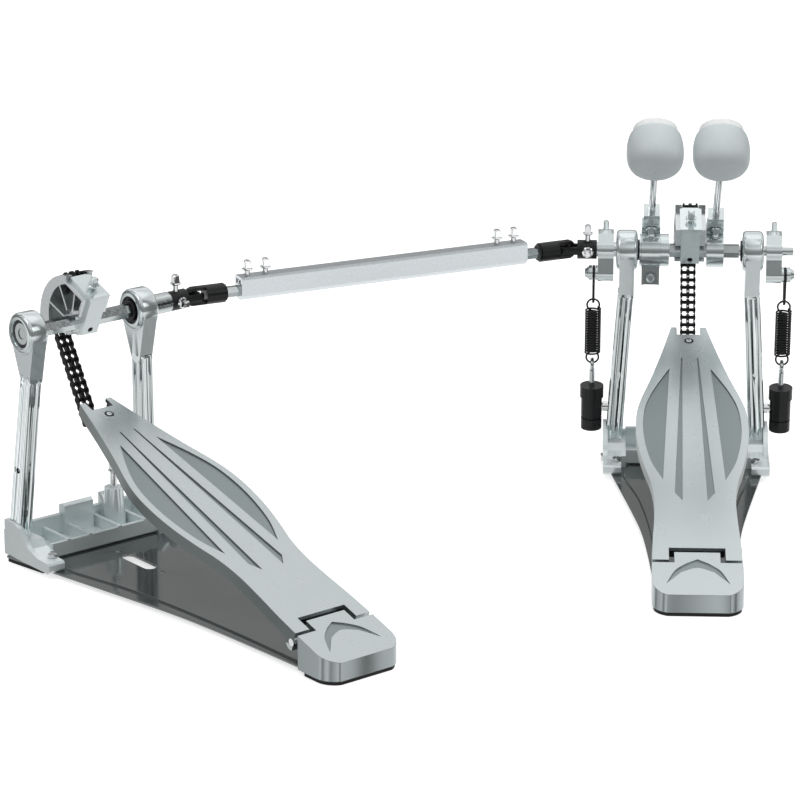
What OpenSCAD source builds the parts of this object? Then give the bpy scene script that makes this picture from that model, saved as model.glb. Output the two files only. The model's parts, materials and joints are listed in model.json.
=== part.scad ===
// Double bass drum pedal: a main pedal with two beaters, and a second
// pedal that drives the left beater through a telescopic shaft.
// Origin: on the floor, under the middle of the main pedal's rocker shaft.
// X runs along that shaft, Y points to the drum, Z points up.

/* [Frame] */
// Height of the rocker shafts above the floor
shaft_h = 185; // [175:0.5:195]
// Distance from the middle of a pedal to the outer face of a bearing housing
housing_out = 60; // [58:0.5:64]
// Width of a bearing housing along the shaft
housing_w = 17.3; // [15:0.1:19]
// Outer radius of a bearing housing
housing_r = 16.5; // [15:0.1:19]
// Height of the middle of a post's foot
post_foot_z = 20; // [16:0.5:24]
// Sideways place of the middle of a post's foot
post_foot_x = 59.6; // [58:0.1:62]
// Place of the middle of a post's foot towards the drum
post_foot_y = 8; // [4:0.5:10]
// Thickness of the base plate's steel sheet
sheet_t = 2; // [1.5:0.1:3]
// Height of the raised middle of the base plate
panel_z = 6.4; // [6:0.2:8]
// Thickness of the rubber feet
foot_t = 3; // [2:0.5:4]

/* [Rocker] */
// Width of the hexagonal shaft across its flats
hex_af = 10; // [9.6:0.1:10.4]
// Diameter of the shaft where the bearings carry it
journal_d = 8; // [7.5:0.1:9]
// Outer diameter of a bearing
bearing_d = 22; // [20:0.5:24]
// Outer diameter of the sleeve that carries the left beater
sleeve_d = 12; // [11.5:0.1:13]
// Outer radius of the cam's side flanges
flange_r = 39.5; // [39:0.25:41]
// Width of the cam over both flanges
cam_w = 24.6; // [22:0.2:26]
// Thickness of the strap that clamps the chain
strap_t = 3; // [2:0.25:4]
// Reach of a spring lever from the shaft to its roller
lever_reach = 19; // [17:0.5:22]
// Thickness of a spring lever
lever_w = 12.8; // [10:0.2:13]

/* [Chain] */
// Pitch of the double roller chain
pitch = 6.35; // [6.2:0.05:6.5]
// Height of a chain plate
plate_h = 5.6; // [5:0.1:5.8]
// Thickness of a chain plate
plate_t = 0.76; // [0.6:0.02:0.9]
// Diameter of a chain pin
pin_d = 2.3; // [2:0.05:2.5]
// Diameter of a chain roller
roller_d = 2.9; // [2.7:0.05:3.6]
// Number of links in the straight run, an even number
run_links = 12; // [10:2:14]

/* [Footboard] */
// Height of the heel hinge above the floor
heel_z = 21.5; // [19:0.5:24]
// Distance from the rocker shaft back to the heel hinge
heel_back = 304.8; // [290:0.5:320]
// Height of the footboard's top face over its hinge line
board_rise = 10.1; // [9.5:0.1:12]
// Depth of the chain's toe eye under the hinge line
eye_drop = 10.5; // [9:0.5:12]
// Thickness of the footboard's tread
tread_t = 3; // [2.5:0.25:4]
// Depth of the footboard's side walls
skirt_h = 9.5; // [8:0.5:11]
// Thickness of the footboard's side walls
skirt_t = 2.6; // [2:0.1:3.5]
// Depth of the recesses in the tread
recess_d = 1.2; // [0.6:0.1:1.6]
// Diameter of the heel hinge pin
heel_pin_d = 6; // [5:0.25:7]

/* [Beaters] */
// Angle of a beater rod from upright, leaning back at rest
beater_lean = 45; // [35:1:50]
// Distance of a beater rod from the shaft's axis
rod_offset = 16; // [15:0.5:18]
// Diameter of a beater rod
rod_d = 6; // [5:0.25:7]
// Distance along a rod from the shaft to the middle of its head
head_reach = 127; // [110:1:150]
// Diameter of a beater head
head_d = 45.5; // [42:0.5:50]
// Depth of a beater head's plastic body
head_depth = 35.5; // [30:0.5:38]
// Thickness of the felt striking disc
felt_t = 6.4; // [4:0.2:9]

/* [Springs] */
// Distance of the springs from the middle of the pedal
spring_x = 78.2; // [77:0.1:79]
// Wire of the springs
wire_d = 1.6; // [1.2:0.1:1.7]
// Outer diameter of the springs
spring_d = 13.5; // [12:0.1:14.5]
// Number of curls in a spring
curls = 18; // [14:1:20]
// Length of a spring's wound part
coil_len = 41; // [38:0.5:46]
// Height of the stub axles that the springs pull on
anchor_z = 48; // [44:0.5:52]

/* [Second pedal and drive shaft] */
// Sideways place of the second pedal
slave_x = -471.6; // [-500:0.1:-450]
// Place of the second pedal towards the drum
slave_y = -217; // [-240:0.5:-200]
// Angle of the second pedal
slave_turn = 41.25; // [38:0.25:44]
// Sideways distance from the main pedal's middle to its universal joint
joint_main_x = 101; // [99:0.5:104]
// Distance from the second pedal's middle to its universal joint
joint_slave_x = 104; // [102:0.5:108]
// Outer diameter of the universal joints
joint_d = 15.6; // [14:0.2:17]
// Width of the telescopic rods across their flats
link_af = 8; // [7:0.25:8.5]
// Length of the outer tube of the drive shaft
tube_len = 251; // [240:1:265]
// Width of the outer tube
tube_w = 15; // [14:0.5:17]
// Height of the outer tube
tube_h = 18.5; // [17:0.5:20]

/* [Hoop clamp] */
// Gap for the drum hoop between the jaws
hoop_gap = 14; // [11:0.5:16]
// Width of the jaws
jaw_w = 40; // [30:1:44]
// Reach of the jaws from the frame towards the drum
jaw_reach = 22; // [18:0.5:26]

/* [Hidden] */
$fn = 48;
// Radial clearance of turning fits
run_fit = 0.05;
// Gap between pieces that pass each other
pass_gap = 0.3;
eps = 0.01;

// Bearing housings and posts
housing_in = housing_out - housing_w;
housing_mid = (housing_out + housing_in) / 2;
post_top_drop = 34;
post_top_x = housing_mid + 0.4;
post_top_y = -2.5;
post_span = shaft_h - post_top_drop - post_foot_z;
post_splay = atan((post_foot_x - post_top_x) / post_span);
post_tilt = atan((post_foot_y - post_top_y) / post_span);
post_len = post_span / cos(post_splay) / cos(post_tilt);
core_r0 = 6.6;
core_r1 = 5.6;
rib_r0 = 3;
rib_r1 = 2.5;
rib_in = 4.1;
function post_x(z) = post_foot_x - (z - post_foot_z) * tan(post_splay);
function post_y(z) = post_foot_y - (z - post_foot_z) * tan(post_tilt);

// Chain on its pitch circle: each wrapped link turns by link_turn
link_turn = 10;
chain_r = pitch / 2 / sin(link_turn / 2);
seat_r = chain_r * cos(link_turn / 2) - plate_h / 2 - pass_gap;
strand = 2.9;
bush_in = 1.6;
plate_gap = 0.12;
inner_x = strand - bush_in - plate_t;
outer_x = strand + bush_in + plate_t + plate_gap;
pin_end = outer_x + plate_t + 0.3;
waist = plate_h * 0.78;
// A pair of moving links keeps this fixed bend
pair_fold = 5;
pair_len = 2 * pitch * cos(pair_fold / 2);
pair_turn = 2 * asin(pair_len / 2 / chain_r);
leave_a = 15;
pair2_a = leave_a - pair_turn;
run_a = pair2_a - pair_turn;
run_dir = run_a - link_turn / 2 - 90;
run_len = run_links * pitch;
wrapped = 5;
dip_dir = 206.5;
wrap_end_a = leave_a + link_turn * wrapped;

// Toe eye, where the chain meets the footboard
toe_y = chain_r * cos(run_a) + run_len * cos(run_dir);
toe_z = shaft_h + chain_r * sin(run_a) + run_len * sin(run_dir);
toe_dist = norm([toe_y + heel_back, toe_z - heel_z]);
board_u = sqrt(toe_dist * toe_dist - eye_drop * eye_drop);
board_tilt = atan2(toe_z - heel_z, toe_y + heel_back) + atan2(eye_drop, board_u);
board_tip = board_u - 1.2;

// Half-widths of the footboard at distances from its hinge
board_edge = [[34, -2.6], [33.4, 20], [32, 45], [31.4, 72], [33.6, 95], [38.4, 116],
    [42.8, 141], [44.6, 166], [43.6, 188], [39.8, 207.5], [31.6, 236], [22.5, 272],
    [14.2, board_tip]];
notch_half = 9.6;
notch_depth = 10.4;
heel_notch_half = 21.4;
heel_notch_end = 12.2;
barrel_r = 6;

// Heel plate
heel_front = -heel_back - 47;
heel_half = 34.4;
tab_half = 17.4;
tab_end = 3.6;
heel_side_end = -heel_back - 8.4;
heel_wall = 2.3;

// Half-widths of the base plate from the drum side to the heel
base_edge = [[70, 12], [68.5, 0], [62.6, -36], [54.6, -83], [46, -135], [39.6, -180],
    [35.6, -230], [32.6, -290], [31, -335]];
panel_edge = [[47, -19.5], [50.4, -36], [51.6, -50], [46.6, -75], [41, -101], [36.6, -134],
    [33.6, -165], [31.4, -200], [29.4, -250], [28.6, -306]];
base_top = foot_t + sheet_t;

// Brackets and crossbeam
bracket_in = 49.5;
bracket_out = 68.4;
beam_z0 = base_top + 3;
beam_z1 = 27;
beam_y0 = -22;
beam_y1 = 17;
tower_x = 27;
tower_y = 5;
tower_z = 42;
clamp_bolt_d = 6;

// Hoop clamp
jaw_z = 13;
jaw_t = 6;
jaw_y0 = beam_y1;
jaw_y1 = beam_y1 + jaw_reach;
jaw_pin_y = 10;
jaw_pin_z = beam_z1 + 6;
jaw_pin_d = 5;
upper_z = jaw_z + jaw_t + hoop_gap;

// Springs: the lever's roller hangs back from straight down by lever_lag
lever_lag = 15;
roller_y = -lever_reach * sin(lever_lag);
roller_z = shaft_h - lever_reach * cos(lever_lag);
anchor_y = post_y(anchor_z);
spring_dy = roller_y - anchor_y;
spring_dz = roller_z - anchor_z;
spring_span = norm([spring_dy, spring_dz]);
spring_tilt = atan2(-spring_dy, spring_dz);
lever_in = housing_out + 2.2;
lever_out = lever_in + lever_w;
groove_r = 4;
washer_r = 6.1;
stirrup_t = 2;
stirrup_r = groove_r + 1.2;
stirrup_low_r = 2.9;
stirrup_len = 22.5;
// Distances up the spring's line from its stub axle
adjuster_low = -19;
adjuster_top = 19;
eye_u = 37.5;
eye_hole_r = 2.7;
hook_r = (spring_d - wire_d) / 2 - 0.9;
hook_low_u = eye_u + eye_hole_r - wire_d / 2 - 0.2;
coil_u0 = hook_low_u + hook_r * 1.7;
coil_r = (spring_d - wire_d) / 2;
coil_pitch = (coil_len - wire_d) / curls;
hook_top_u = coil_u0 + coil_len - wire_d + hook_r * 1.7;
stirrup_top_u = spring_span + groove_r + 0.1 - stirrup_r;
stirrup_low_u = hook_top_u - wire_d / 2 - 0.2 + stirrup_low_r;

// Drive shaft between the two universal joints
slave_joint = [slave_x + joint_slave_x * cos(slave_turn), slave_y + joint_slave_x * sin(slave_turn)];
link_dx = slave_joint[0] + joint_main_x;
link_dy = slave_joint[1];
link_len = norm([link_dx, link_dy]);
link_yaw = atan2(link_dy, link_dx);
joint_main_bend = link_yaw + 180;
joint_slave_bend = slave_turn - joint_main_bend;
joint_fork = 9;
joint_gap = 9.2;
ear_half = 3;
cross_half = 3.4;
cross_pin_d = 3.2;
rod_yoke_len = 25;
tube_start = (link_len - tube_len) / 2 + 0.5;
rod_main_in = 60;
rod_slave_in = 108;
bore_drop = 2.4;

// Shared forms

// Catmull-Rom curve through [x, y] points, steps to a span
function curve_point(a, b, c, d, t) = 0.5 * (2 * b + (c - a) * t
    + (2 * a - 5 * b + 4 * c - d) * t * t + (3 * b - a - 3 * c + d) * t * t * t);
function curve(p, steps) = [for (i = [0:len(p) - 2], k = [0:steps - 1])
    curve_point(p[max(i - 1, 0)], p[i], p[i + 1], p[min(i + 2, len(p) - 1)], k / steps),
    p[len(p) - 1]];
function flip(p) = [for (i = [len(p) - 1:-1:0]) [-p[i][0], p[i][1]]];
function inset(p, t) = [for (q = p) [q[0] - t, q[1]]];
function arc(c, r, a0, a1, n) = [for (i = [0:n]) c + r * [cos(a0 + (a1 - a0) * i / n), sin(a0 + (a1 - a0) * i / n)]];

// Extrudes an outline drawn in Y and Z from x0 to x1
module slab(x0, x1) {
    translate([x0, 0, 0]) rotate([90, 0, 90]) linear_extrude(x1 - x0) children();
}
module barrel(d, x0, x1) {
    translate([x0, 0, 0]) rotate([0, 90, 0]) cylinder(d = d, h = x1 - x0);
}
module hexbar(af, x0, x1) {
    translate([x0, 0, 0]) rotate([0, 90, 0]) rotate(30)
        cylinder(d = af / cos(30), h = x1 - x0, $fn = 6);
}
module mirrored() {
    children();
    mirror([1, 0, 0]) children();
}
module at_shaft() {
    translate([0, 0, shaft_h]) children();
}
module at_slave() {
    translate([slave_x, slave_y, 0]) rotate([0, 0, slave_turn]) children();
}
module at_board() {
    translate([0, -heel_back, heel_z]) rotate([board_tilt, 0, 0]) children();
}
module at_spring(side) {
    translate([side * spring_x, anchor_y, anchor_z]) rotate([spring_tilt, 0, 0]) children();
}
module at_link() {
    translate([-joint_main_x, 0, shaft_h]) rotate([0, 0, link_yaw]) children();
}
// A key bolt stands on the XY plane: bare shank, flange, square drive and domed tip
module key_bolt(reach = 9, shank = 8) {
    translate([0, 0, -shank]) cylinder(d = 4.4, h = shank + reach - 6);
    translate([0, 0, reach - 8]) cylinder(d1 = 7.4, d2 = 9, h = 0.9);
    translate([0, 0, reach - 7.11]) cylinder(d1 = 9, d2 = 7, h = 0.7);
    intersection() {
        translate([-2.65, -2.65, reach - 6.8]) cube([5.3, 5.3, 6.8]);
        union() {
            translate([0, 0, reach - 6.8]) cylinder(d1 = 7.2, d2 = 6.4, h = 5.4);
            translate([0, 0, reach - 1.41]) cylinder(d1 = 6.4, d2 = 3.8, h = 1.41);
        }
    }
}
// A plain round post on a flared foot
module round_post() {
    translate([0, 0, -2.4]) cylinder(d = 4.8, h = 3);
    cylinder(d1 = 10.4, d2 = 6.6, h = 1.9);
    translate([0, 0, 1.89]) cylinder(d = 4.8, h = 6.5);
    translate([0, 0, 8.38]) cylinder(d1 = 4.8, d2 = 3.4, h = 0.8);
}

// Frame

module base_outline(grow) {
    polygon(concat(curve(inset(base_edge, -grow), 4), flip(curve(inset(base_edge, -grow), 4))));
}
module panel_outline(grow) {
    polygon(concat(curve(inset(panel_edge, -grow), 4), flip(curve(inset(panel_edge, -grow), 4))));
}
module base_sheet() {
    difference() {
        union() {
            translate([0, 0, foot_t]) linear_extrude(sheet_t) base_outline(0);
            translate([0, 0, base_top - eps]) linear_extrude(panel_z - base_top) panel_outline(0);
        }
        translate([0, 0, foot_t - eps]) linear_extrude(panel_z - sheet_t - foot_t + eps)
            panel_outline(-sheet_t);
        // Long slot and its two rivet holes
        for (y = [-81, -53]) translate([0, y, 0]) cylinder(d = 10, h = 20);
        translate([-5, -81, 0]) cube([10, 28, 20]);
        for (y = [-38, -97]) translate([0, y, 0]) cylinder(d = 4.2, h = 20);
        // Way through for the anchor bolt, and holes for the bracket screws
        translate([tower_x, tower_y, 0]) cylinder(d = 7.4, h = 20);
        mirrored() translate([bracket_screw_x, bracket_screw_y, 0]) cylinder(d = 4.4, h = 20);
    }
}
bracket_screw_x = 57;
bracket_screw_y = -33;

// One post without its housing: a tapered core with four tapered ribs
module column(grow) {
    translate([post_foot_x, post_foot_y, post_foot_z])
        rotate([post_tilt, 0, 0]) rotate([0, -post_splay, 0]) translate([0, 0, -9]) {
            cylinder(r1 = core_r0 + grow, r2 = core_r1 + grow, h = post_len + 9);
            for (x = [-1, 1], y = [-1, 1]) translate([x * rib_in, y * rib_in, 0])
                cylinder(r1 = rib_r0 + grow, r2 = rib_r1 + grow, h = post_len + 9);
        }
}
module housing_profile(r, half, soft) {
    // Revolved outline of a housing with soft rims
    rotate([0, 90, 0]) rotate_extrude($fn = 64) polygon(concat([[0, -half]],
        arc([r - soft, -half + soft], soft, -90, 0, 6), arc([r - soft, half - soft], soft, 0, 90, 6),
        [[0, half]]));
}
module housing() {
    translate([housing_mid, 0, shaft_h]) {
        housing_profile(housing_r, housing_w / 2, 3.4);
        // Teardrop that runs down into the column
        slab(-housing_w / 2 + 2.6, housing_w / 2 - 2.6)
            polygon([[-housing_r * 0.97, -housing_r * 0.25], [housing_r * 0.97, -housing_r * 0.25],
                [post_top_y + 5.6, -post_top_drop - 5], [post_top_y, -post_top_drop - 9],
                [post_top_y - 5.6, -post_top_drop - 5]]);
    }
}
module post(slot) {
    difference() {
        union() {
            column(0);
            housing();
        }
        // Bearing seat and the shallow recess in the outer face
        translate([0, 0, shaft_h]) {
            barrel(bearing_d + 0.04, housing_in - 1, housing_out + 1);
            barrel(bearing_d + 1.6, housing_out - 1.5, housing_out + 1);
        }
        // Foot is cut level on the bracket's floor
        translate([0, -100, -90 + base_top + 4]) cube([200, 200, 90]);
        if (slot) {
            // Keyway for the spring's stub axle
            translate([post_x(anchor_z) + 4.2, post_y(anchor_z), 0]) {
                for (z = [-14, 19]) translate([0, 0, anchor_z + z]) barrel(6, 0, 20);
                translate([0, -3, anchor_z - 14]) cube([20, 6, 33]);
            }
            // Threaded seat behind the keyway
            translate([0, anchor_y, anchor_z]) barrel(5, post_x(anchor_z) - 4, post_x(anchor_z) + 9);
        } else {
            translate([0, post_y(75), 75]) barrel(4.5, post_x(75), post_x(75) + 20);
        }
    }
}
module bearing() {
    translate([0, 0, shaft_h]) difference() {
        union() {
            barrel(bearing_d, housing_in + 1.6, housing_out - 3);
            barrel(bearing_d - 5, housing_in - 1.4, housing_out - 2.2);
        }
        children();
    }
}
module bracket() {
    difference() {
        union() {
            // Foot, side wall and socket of the post
            translate([bracket_in, 0, base_top]) rotate([90, 0, 90]) linear_extrude(bracket_out - bracket_in)
                polygon([[-43, 0], [-44.6, 2], [-44.6, 6.4], [-42.6, 8], [-30, 8.6], [-14, 11],
                    [-9, 16], [16, 16], [16, 0]]);
            translate([bracket_out - 4, 0, base_top]) rotate([90, 0, 90]) linear_extrude(4)
                polygon([[-30, 0], [-30, 8], [-16, 13], [-4, 26], [6, 28.5], [16, 28.5], [16, 0]]);
            translate([bracket_in, 12, base_top]) cube([bracket_out - bracket_in, 5, 20]);
        }
        column(0.1);
        // Narrow toe of the foot, cut on the inner side
        translate([bracket_in - 1, -50, 0]) cube([5, 26, 40]);
        // Screw hole
        translate([bracket_screw_x, bracket_screw_y, 0]) cylinder(d = 4.4, h = 40);
    }
}
module casting(hoop) {
    difference() {
        union() {
            mirrored() bracket();
            // Crossbeam with open cells on top
            translate([-bracket_in, beam_y0, beam_z0]) cube([2 * bracket_in, beam_y1 - beam_y0, 3]);
            translate([-bracket_in, beam_y0, beam_z0]) cube([2 * bracket_in, 3.4, beam_z1 - beam_z0 - 8]);
            translate([-bracket_in, beam_y1 - 4, beam_z0]) cube([2 * bracket_in, 4, beam_z1 - beam_z0]);
            for (x = [-34, -14, 14, 38])
                translate([x - 1.5, beam_y0, beam_z0]) cube([3, beam_y1 - beam_y0, 12]);
            // Seat on the base plate
            translate([-bracket_in, beam_y0 + 4, base_top]) cube([2 * bracket_in, beam_y1 - beam_y0 - 4, 4]);
            // Tower of the clamp bolt
            translate([tower_x, tower_y, beam_z0]) cylinder(d1 = 19, d2 = 15, h = tower_z - beam_z0);
            translate([tower_x - 7, tower_y, beam_z0]) cube([14, beam_y1 - tower_y, tower_z - beam_z0 - 6]);
            // Raised lug in the middle of the rear wall
            slab(-17, 10) polygon([[beam_y1, beam_z0], [beam_y1, beam_z1 + 7], [beam_y1 - 5, beam_z1 + 9],
                [beam_y1 - 8, beam_z1 + 7], [beam_y1 - 8, beam_z0]]);
            if (hoop) {
                // Fixed lower jaw
                translate([-jaw_w / 2, jaw_y0 - eps, jaw_z]) cube([jaw_w, jaw_reach, jaw_t]);
                mirrored() slab(jaw_w / 2 - 5, jaw_w / 2)
                    polygon([[jaw_y0 - eps, jaw_z + 2], [jaw_y0 - eps, base_top], [jaw_y1 - 6, jaw_z + 2]]);
            }
        }
        if (!hoop) translate([tower_x, tower_y, base_top - 1]) cylinder(d = clamp_bolt_d + 0.2, h = 60);
        if (hoop) {
            // Ears for the jaw's hinge pin are cut out of the lug
            translate([-13, beam_y1 - 12, beam_z1 + 0.5]) cube([19, 20, 20]);
            translate([0, jaw_pin_y + 2.5, jaw_pin_z]) barrel(jaw_pin_d + 2 * run_fit, -30, 30);
        }
    }
}

module heel_outline(t) {
    // Plan of the heel plate, with a wall's inset
    r = 17 - t;
    polygon(concat(
        [[heel_half - t, heel_side_end - t]],
        arc([heel_half - 17, heel_front + 17], r, 0, -70, 7),
        arc([-heel_half + 17, heel_front + 17], r, -110, -180, 7),
        [[-heel_half + t, heel_side_end - t]]));
}
module heel_shell() {
    top_drop = board_rise / cos(board_tilt);
    difference() {
        union() {
            translate([0, 0, foot_t + 0.2]) linear_extrude(40) heel_outline(0);
            // Tab that carries the hinge pin
            translate([-tab_half, heel_side_end - 1, heel_z - barrel_r]) cube([2 * tab_half, -heel_back + tab_end - heel_side_end + 1, 30]);
        }
        // Top face lies in the plane of the footboard's tread
        at_board() translate([-60, -80, board_rise]) cube([120, 160, 60]);
        // Hollow from below, and room for the base plate
        difference() {
            translate([0, 0, foot_t - 1]) linear_extrude(40) heel_outline(heel_wall);
            at_board() translate([-60, -80, board_rise - 3.2]) cube([120, 160, 60]);
            translate([-tab_half, heel_side_end - 8, base_top + 5]) cube([2 * tab_half, 20, 40]);
        }
        // Way in for the base plate
        translate([-32.1, heel_side_end - 8, 0]) cube([64.2, 20, base_top + 0.3]);
        // Round nose and bore of the tab
        translate([0, -heel_back, heel_z]) {
            barrel(heel_pin_d, -tab_half - 1, tab_half + 1);
            slab(-tab_half - 1, tab_half + 1) difference() {
                translate([0, -barrel_r - 1]) square([20, barrel_r + 1]);
                circle(r = barrel_r);
            }
        }
        // Arrow-shaped recess
        at_board() translate([0, 0, board_rise - recess_d]) linear_extrude(10)
            polygon(concat([[0, -1.6], [0, -1.6]], curve([[8, -6.5], [17, -15.5], [23.6, -31]], 4),
                curve([[12.5, -17.5], [0, -12], [-12.5, -17.5]], 4), curve([[-23.6, -31], [-17, -15.5], [-8, -6.5]], 4)));
    }
}

module feet() {
    // Strip across the drum side and a pad under the heel
    linear_extrude(foot_t) intersection() {
        base_outline(-0.8);
        translate([-80, -28]) square([160, 39]);
    }
    linear_extrude(foot_t) difference() {
        heel_outline(1.2);
        translate([-60, heel_side_end - 6]) square([120, 40]);
    }
}

module fasteners(axles) {
    // Foot screws of the brackets
    mirrored() translate([bracket_screw_x, bracket_screw_y, 0]) {
        translate([0, 0, foot_t + 0.4]) cylinder(d = 4.2, h = base_top + 8);
        translate([0, 0, base_top + 8.7]) cylinder(d = 7.2, h = 2.4);
    }
    // Heel hinge pin
    translate([0, -heel_back, heel_z]) barrel(heel_pin_d - 2 * run_fit, -heel_half + 0.6, heel_half - 0.6);
    if (axles) translate([0, jaw_pin_y + 2.5, jaw_pin_z]) barrel(jaw_pin_d, -16.5, 9.5);
    if (axles) mirrored() translate([0, anchor_y, anchor_z]) {
        barrel(5, post_x(anchor_z) - 3.5, spring_x - 2.7);
        barrel(8, post_x(anchor_z) + 7, spring_x - 9);
    }
}

// Rocker

module at_strap() {
    // Z points squarely out of the strap's top plate, Y along it to the drum side
    translate([0, 0, shaft_h]) rotate([strap_dir - 90, 0, 0]) children();
}
module strap_face(back) {
    // Everything outside the faces that the strap lies on, moved in by back
    rotate(strap_dir - 90) {
        translate([-80, strap_floor - back]) square([80 + strap_y1 + 0.4, 80]);
        translate([strap_y0, strap_floor + strap_t]) rotate(front_dir) translate([-60, -90])
            square([160, 90 + strap_t + back]);
    }
}
module cam_outline() {
    // Flange circle, cut off under the hub and where the strap lies
    difference() {
        translate([3, -3]) circle(r = flange_r, $fn = 96);
        translate([-60, -70.4]) square([120, 60]);
        strap_face(0.02);
    }
}
module cam_body() {
    at_shaft() difference() {
        union() {
            slab(-cam_w / 2, cam_w / 2) cam_outline();
            barrel(19, -7.6, 7.6);
        }
        slab(-cam_w, cam_w) strap_face(0.02);
        // Channel for the chain
        difference() {
            rotate([0, 90, 0]) rotate_extrude($fn = 96)
                translate([seat_r, -pin_end - 0.35]) square([30, 2 * pin_end + 0.7]);
            rotate([strap_dir - 90, 0, 0]) translate([-20, -40, 0]) cube([40, 40 + strap_y1 - 14, 60]);
        }
        // Pocket where the chain's end dips under the strap
        rotate([strap_dir - 90, 0, 0]) {
            translate([-pin_end - 0.6, chain_end_y - plate_h / 2 - 0.4, chain_end_z - plate_h / 2 - 0.4])
                cube([2 * pin_end + 1.2, 40, 40]);
            translate([0, strap_bolt_y, 14]) cylinder(d = 4.9, h = 60);
        }
        // Side recesses, with thin spokes left between them
        mirrored() slab(2.2, cam_w) difference() {
            circle(r = seat_r - 2.8, $fn = 96);
            translate([-60, -68.6]) square([120, 60]);
            strap_face(2.2);
            circle(r = 9.5);
            for (a = [20, 62, 104]) rotate(a) translate([0, -0.8]) square([60, 1.6]);
        }
        // Low on the player's side the cam is only as wide as its hub
        mirrored() slab(7.6, cam_w) {
            circle(r = 10.4);
            translate([-60, -40]) square([63, 47]);
        }
        hexbar(hex_af + 0.06, -50, 50);
    }
}
// The strap's top plate stands square to strap_dir in the YZ plane
strap_dir = 112.5;
strap_floor = 27.6;
strap_y0 = -11.6;
strap_y1 = 17.5;
strap_bolt_y = -0.8;
front_dir = -86.6;
strap_w = 17.6;
module strap() {
    difference() {
        at_strap() {
            slab(-strap_w / 2, strap_w / 2)
                translate([strap_y0, strap_floor]) square([strap_y1 - strap_y0, strap_t]);
            // Front plate, a little narrower
            slab(-strap_w / 2 + 1.3, strap_w / 2 - 1.3)
                translate([strap_y0, strap_floor + strap_t]) rotate(front_dir) square([37, strap_t]);
        }
        at_strap() translate([0, strap_bolt_y, 0]) cylinder(d = 4.9, h = 60);
        // Hole for the set screw near the lower end
        at_strap() translate([0, strap_y0 - 3, strap_floor + strap_t - 33]) rotate([-90 + front_dir + 90, 0, 0])
            cylinder(d = 4.4, h = 12);
    }
    at_strap() translate([0, strap_bolt_y, strap_floor + strap_t]) key_bolt(10.5, 10);
}

// Chain: a link lies along +Y from its first pin
module link_plate(x0) {
    slab(x0, x0 + plate_t) {
        circle(d = plate_h, $fn = 24);
        translate([pitch, 0]) circle(d = plate_h, $fn = 24);
        translate([0, -waist / 2]) square([pitch, waist]);
    }
}
module outer_link(last = false) {
    link_plate(-outer_x - plate_t);
    link_plate(-plate_t / 2);
    link_plate(outer_x);
    barrel(pin_d, -pin_end, pin_end);
    if (!last) translate([0, pitch, 0]) barrel(pin_d, -pin_end, pin_end);
}
module inner_link() {
    mirrored() difference() {
        union() {
            link_plate(inner_x);
            link_plate(strand + bush_in);
            for (y = [0, pitch]) translate([0, y, 0]) barrel(roller_d, inner_x, strand + bush_in + plate_t / 2);
        }
        for (y = [0, pitch]) translate([0, y, 0]) barrel(pin_d + 2 * run_fit, 0.2, 20);
    }
}
module pin_place(a, dir) {
    translate([0, chain_r * cos(a), shaft_h + chain_r * sin(a)]) rotate([dir, 0, 0]) children();
}
module wrap_links() {
    for (k = [0:wrapped - 1]) {
        a = leave_a + link_turn * (k + 1);
        pin_place(a, a - link_turn / 2 - 90) if (k % 2 == 0) outer_link(); else inner_link();
    }
    // The last two links dip under the strap
    pin_place(wrap_end_a, dip_dir) {
        inner_link();
        translate([0, pitch, 0]) rotate([strap_dir + 90 - dip_dir, 0, 0]) outer_link();
    }
}
// Last pin under the strap, in the strap's own directions
chain_end_y = chain_r * cos(wrap_end_a - strap_dir + 90) + pitch * cos(dip_dir - strap_dir + 90) - pitch;
chain_end_z = chain_r * sin(wrap_end_a - strap_dir + 90) + pitch * sin(dip_dir - strap_dir + 90);
echo(chain_end = [chain_end_y, chain_end_z], strap_floor = strap_floor);
module link_pair(a) {
    mid = a - pair_turn / 2 - 90;
    pin_place(a, mid + pair_fold / 2) {
        inner_link();
        translate([0, pitch, 0]) rotate([-pair_fold, 0, 0]) outer_link();
    }
}
module run_chain() {
    pin_place(run_a, run_dir) for (k = [0:run_links - 1]) translate([0, k * pitch, 0])
        if (k % 2 == 0) inner_link(); else outer_link(k == run_links - 1);
}

// Footboard

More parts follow.
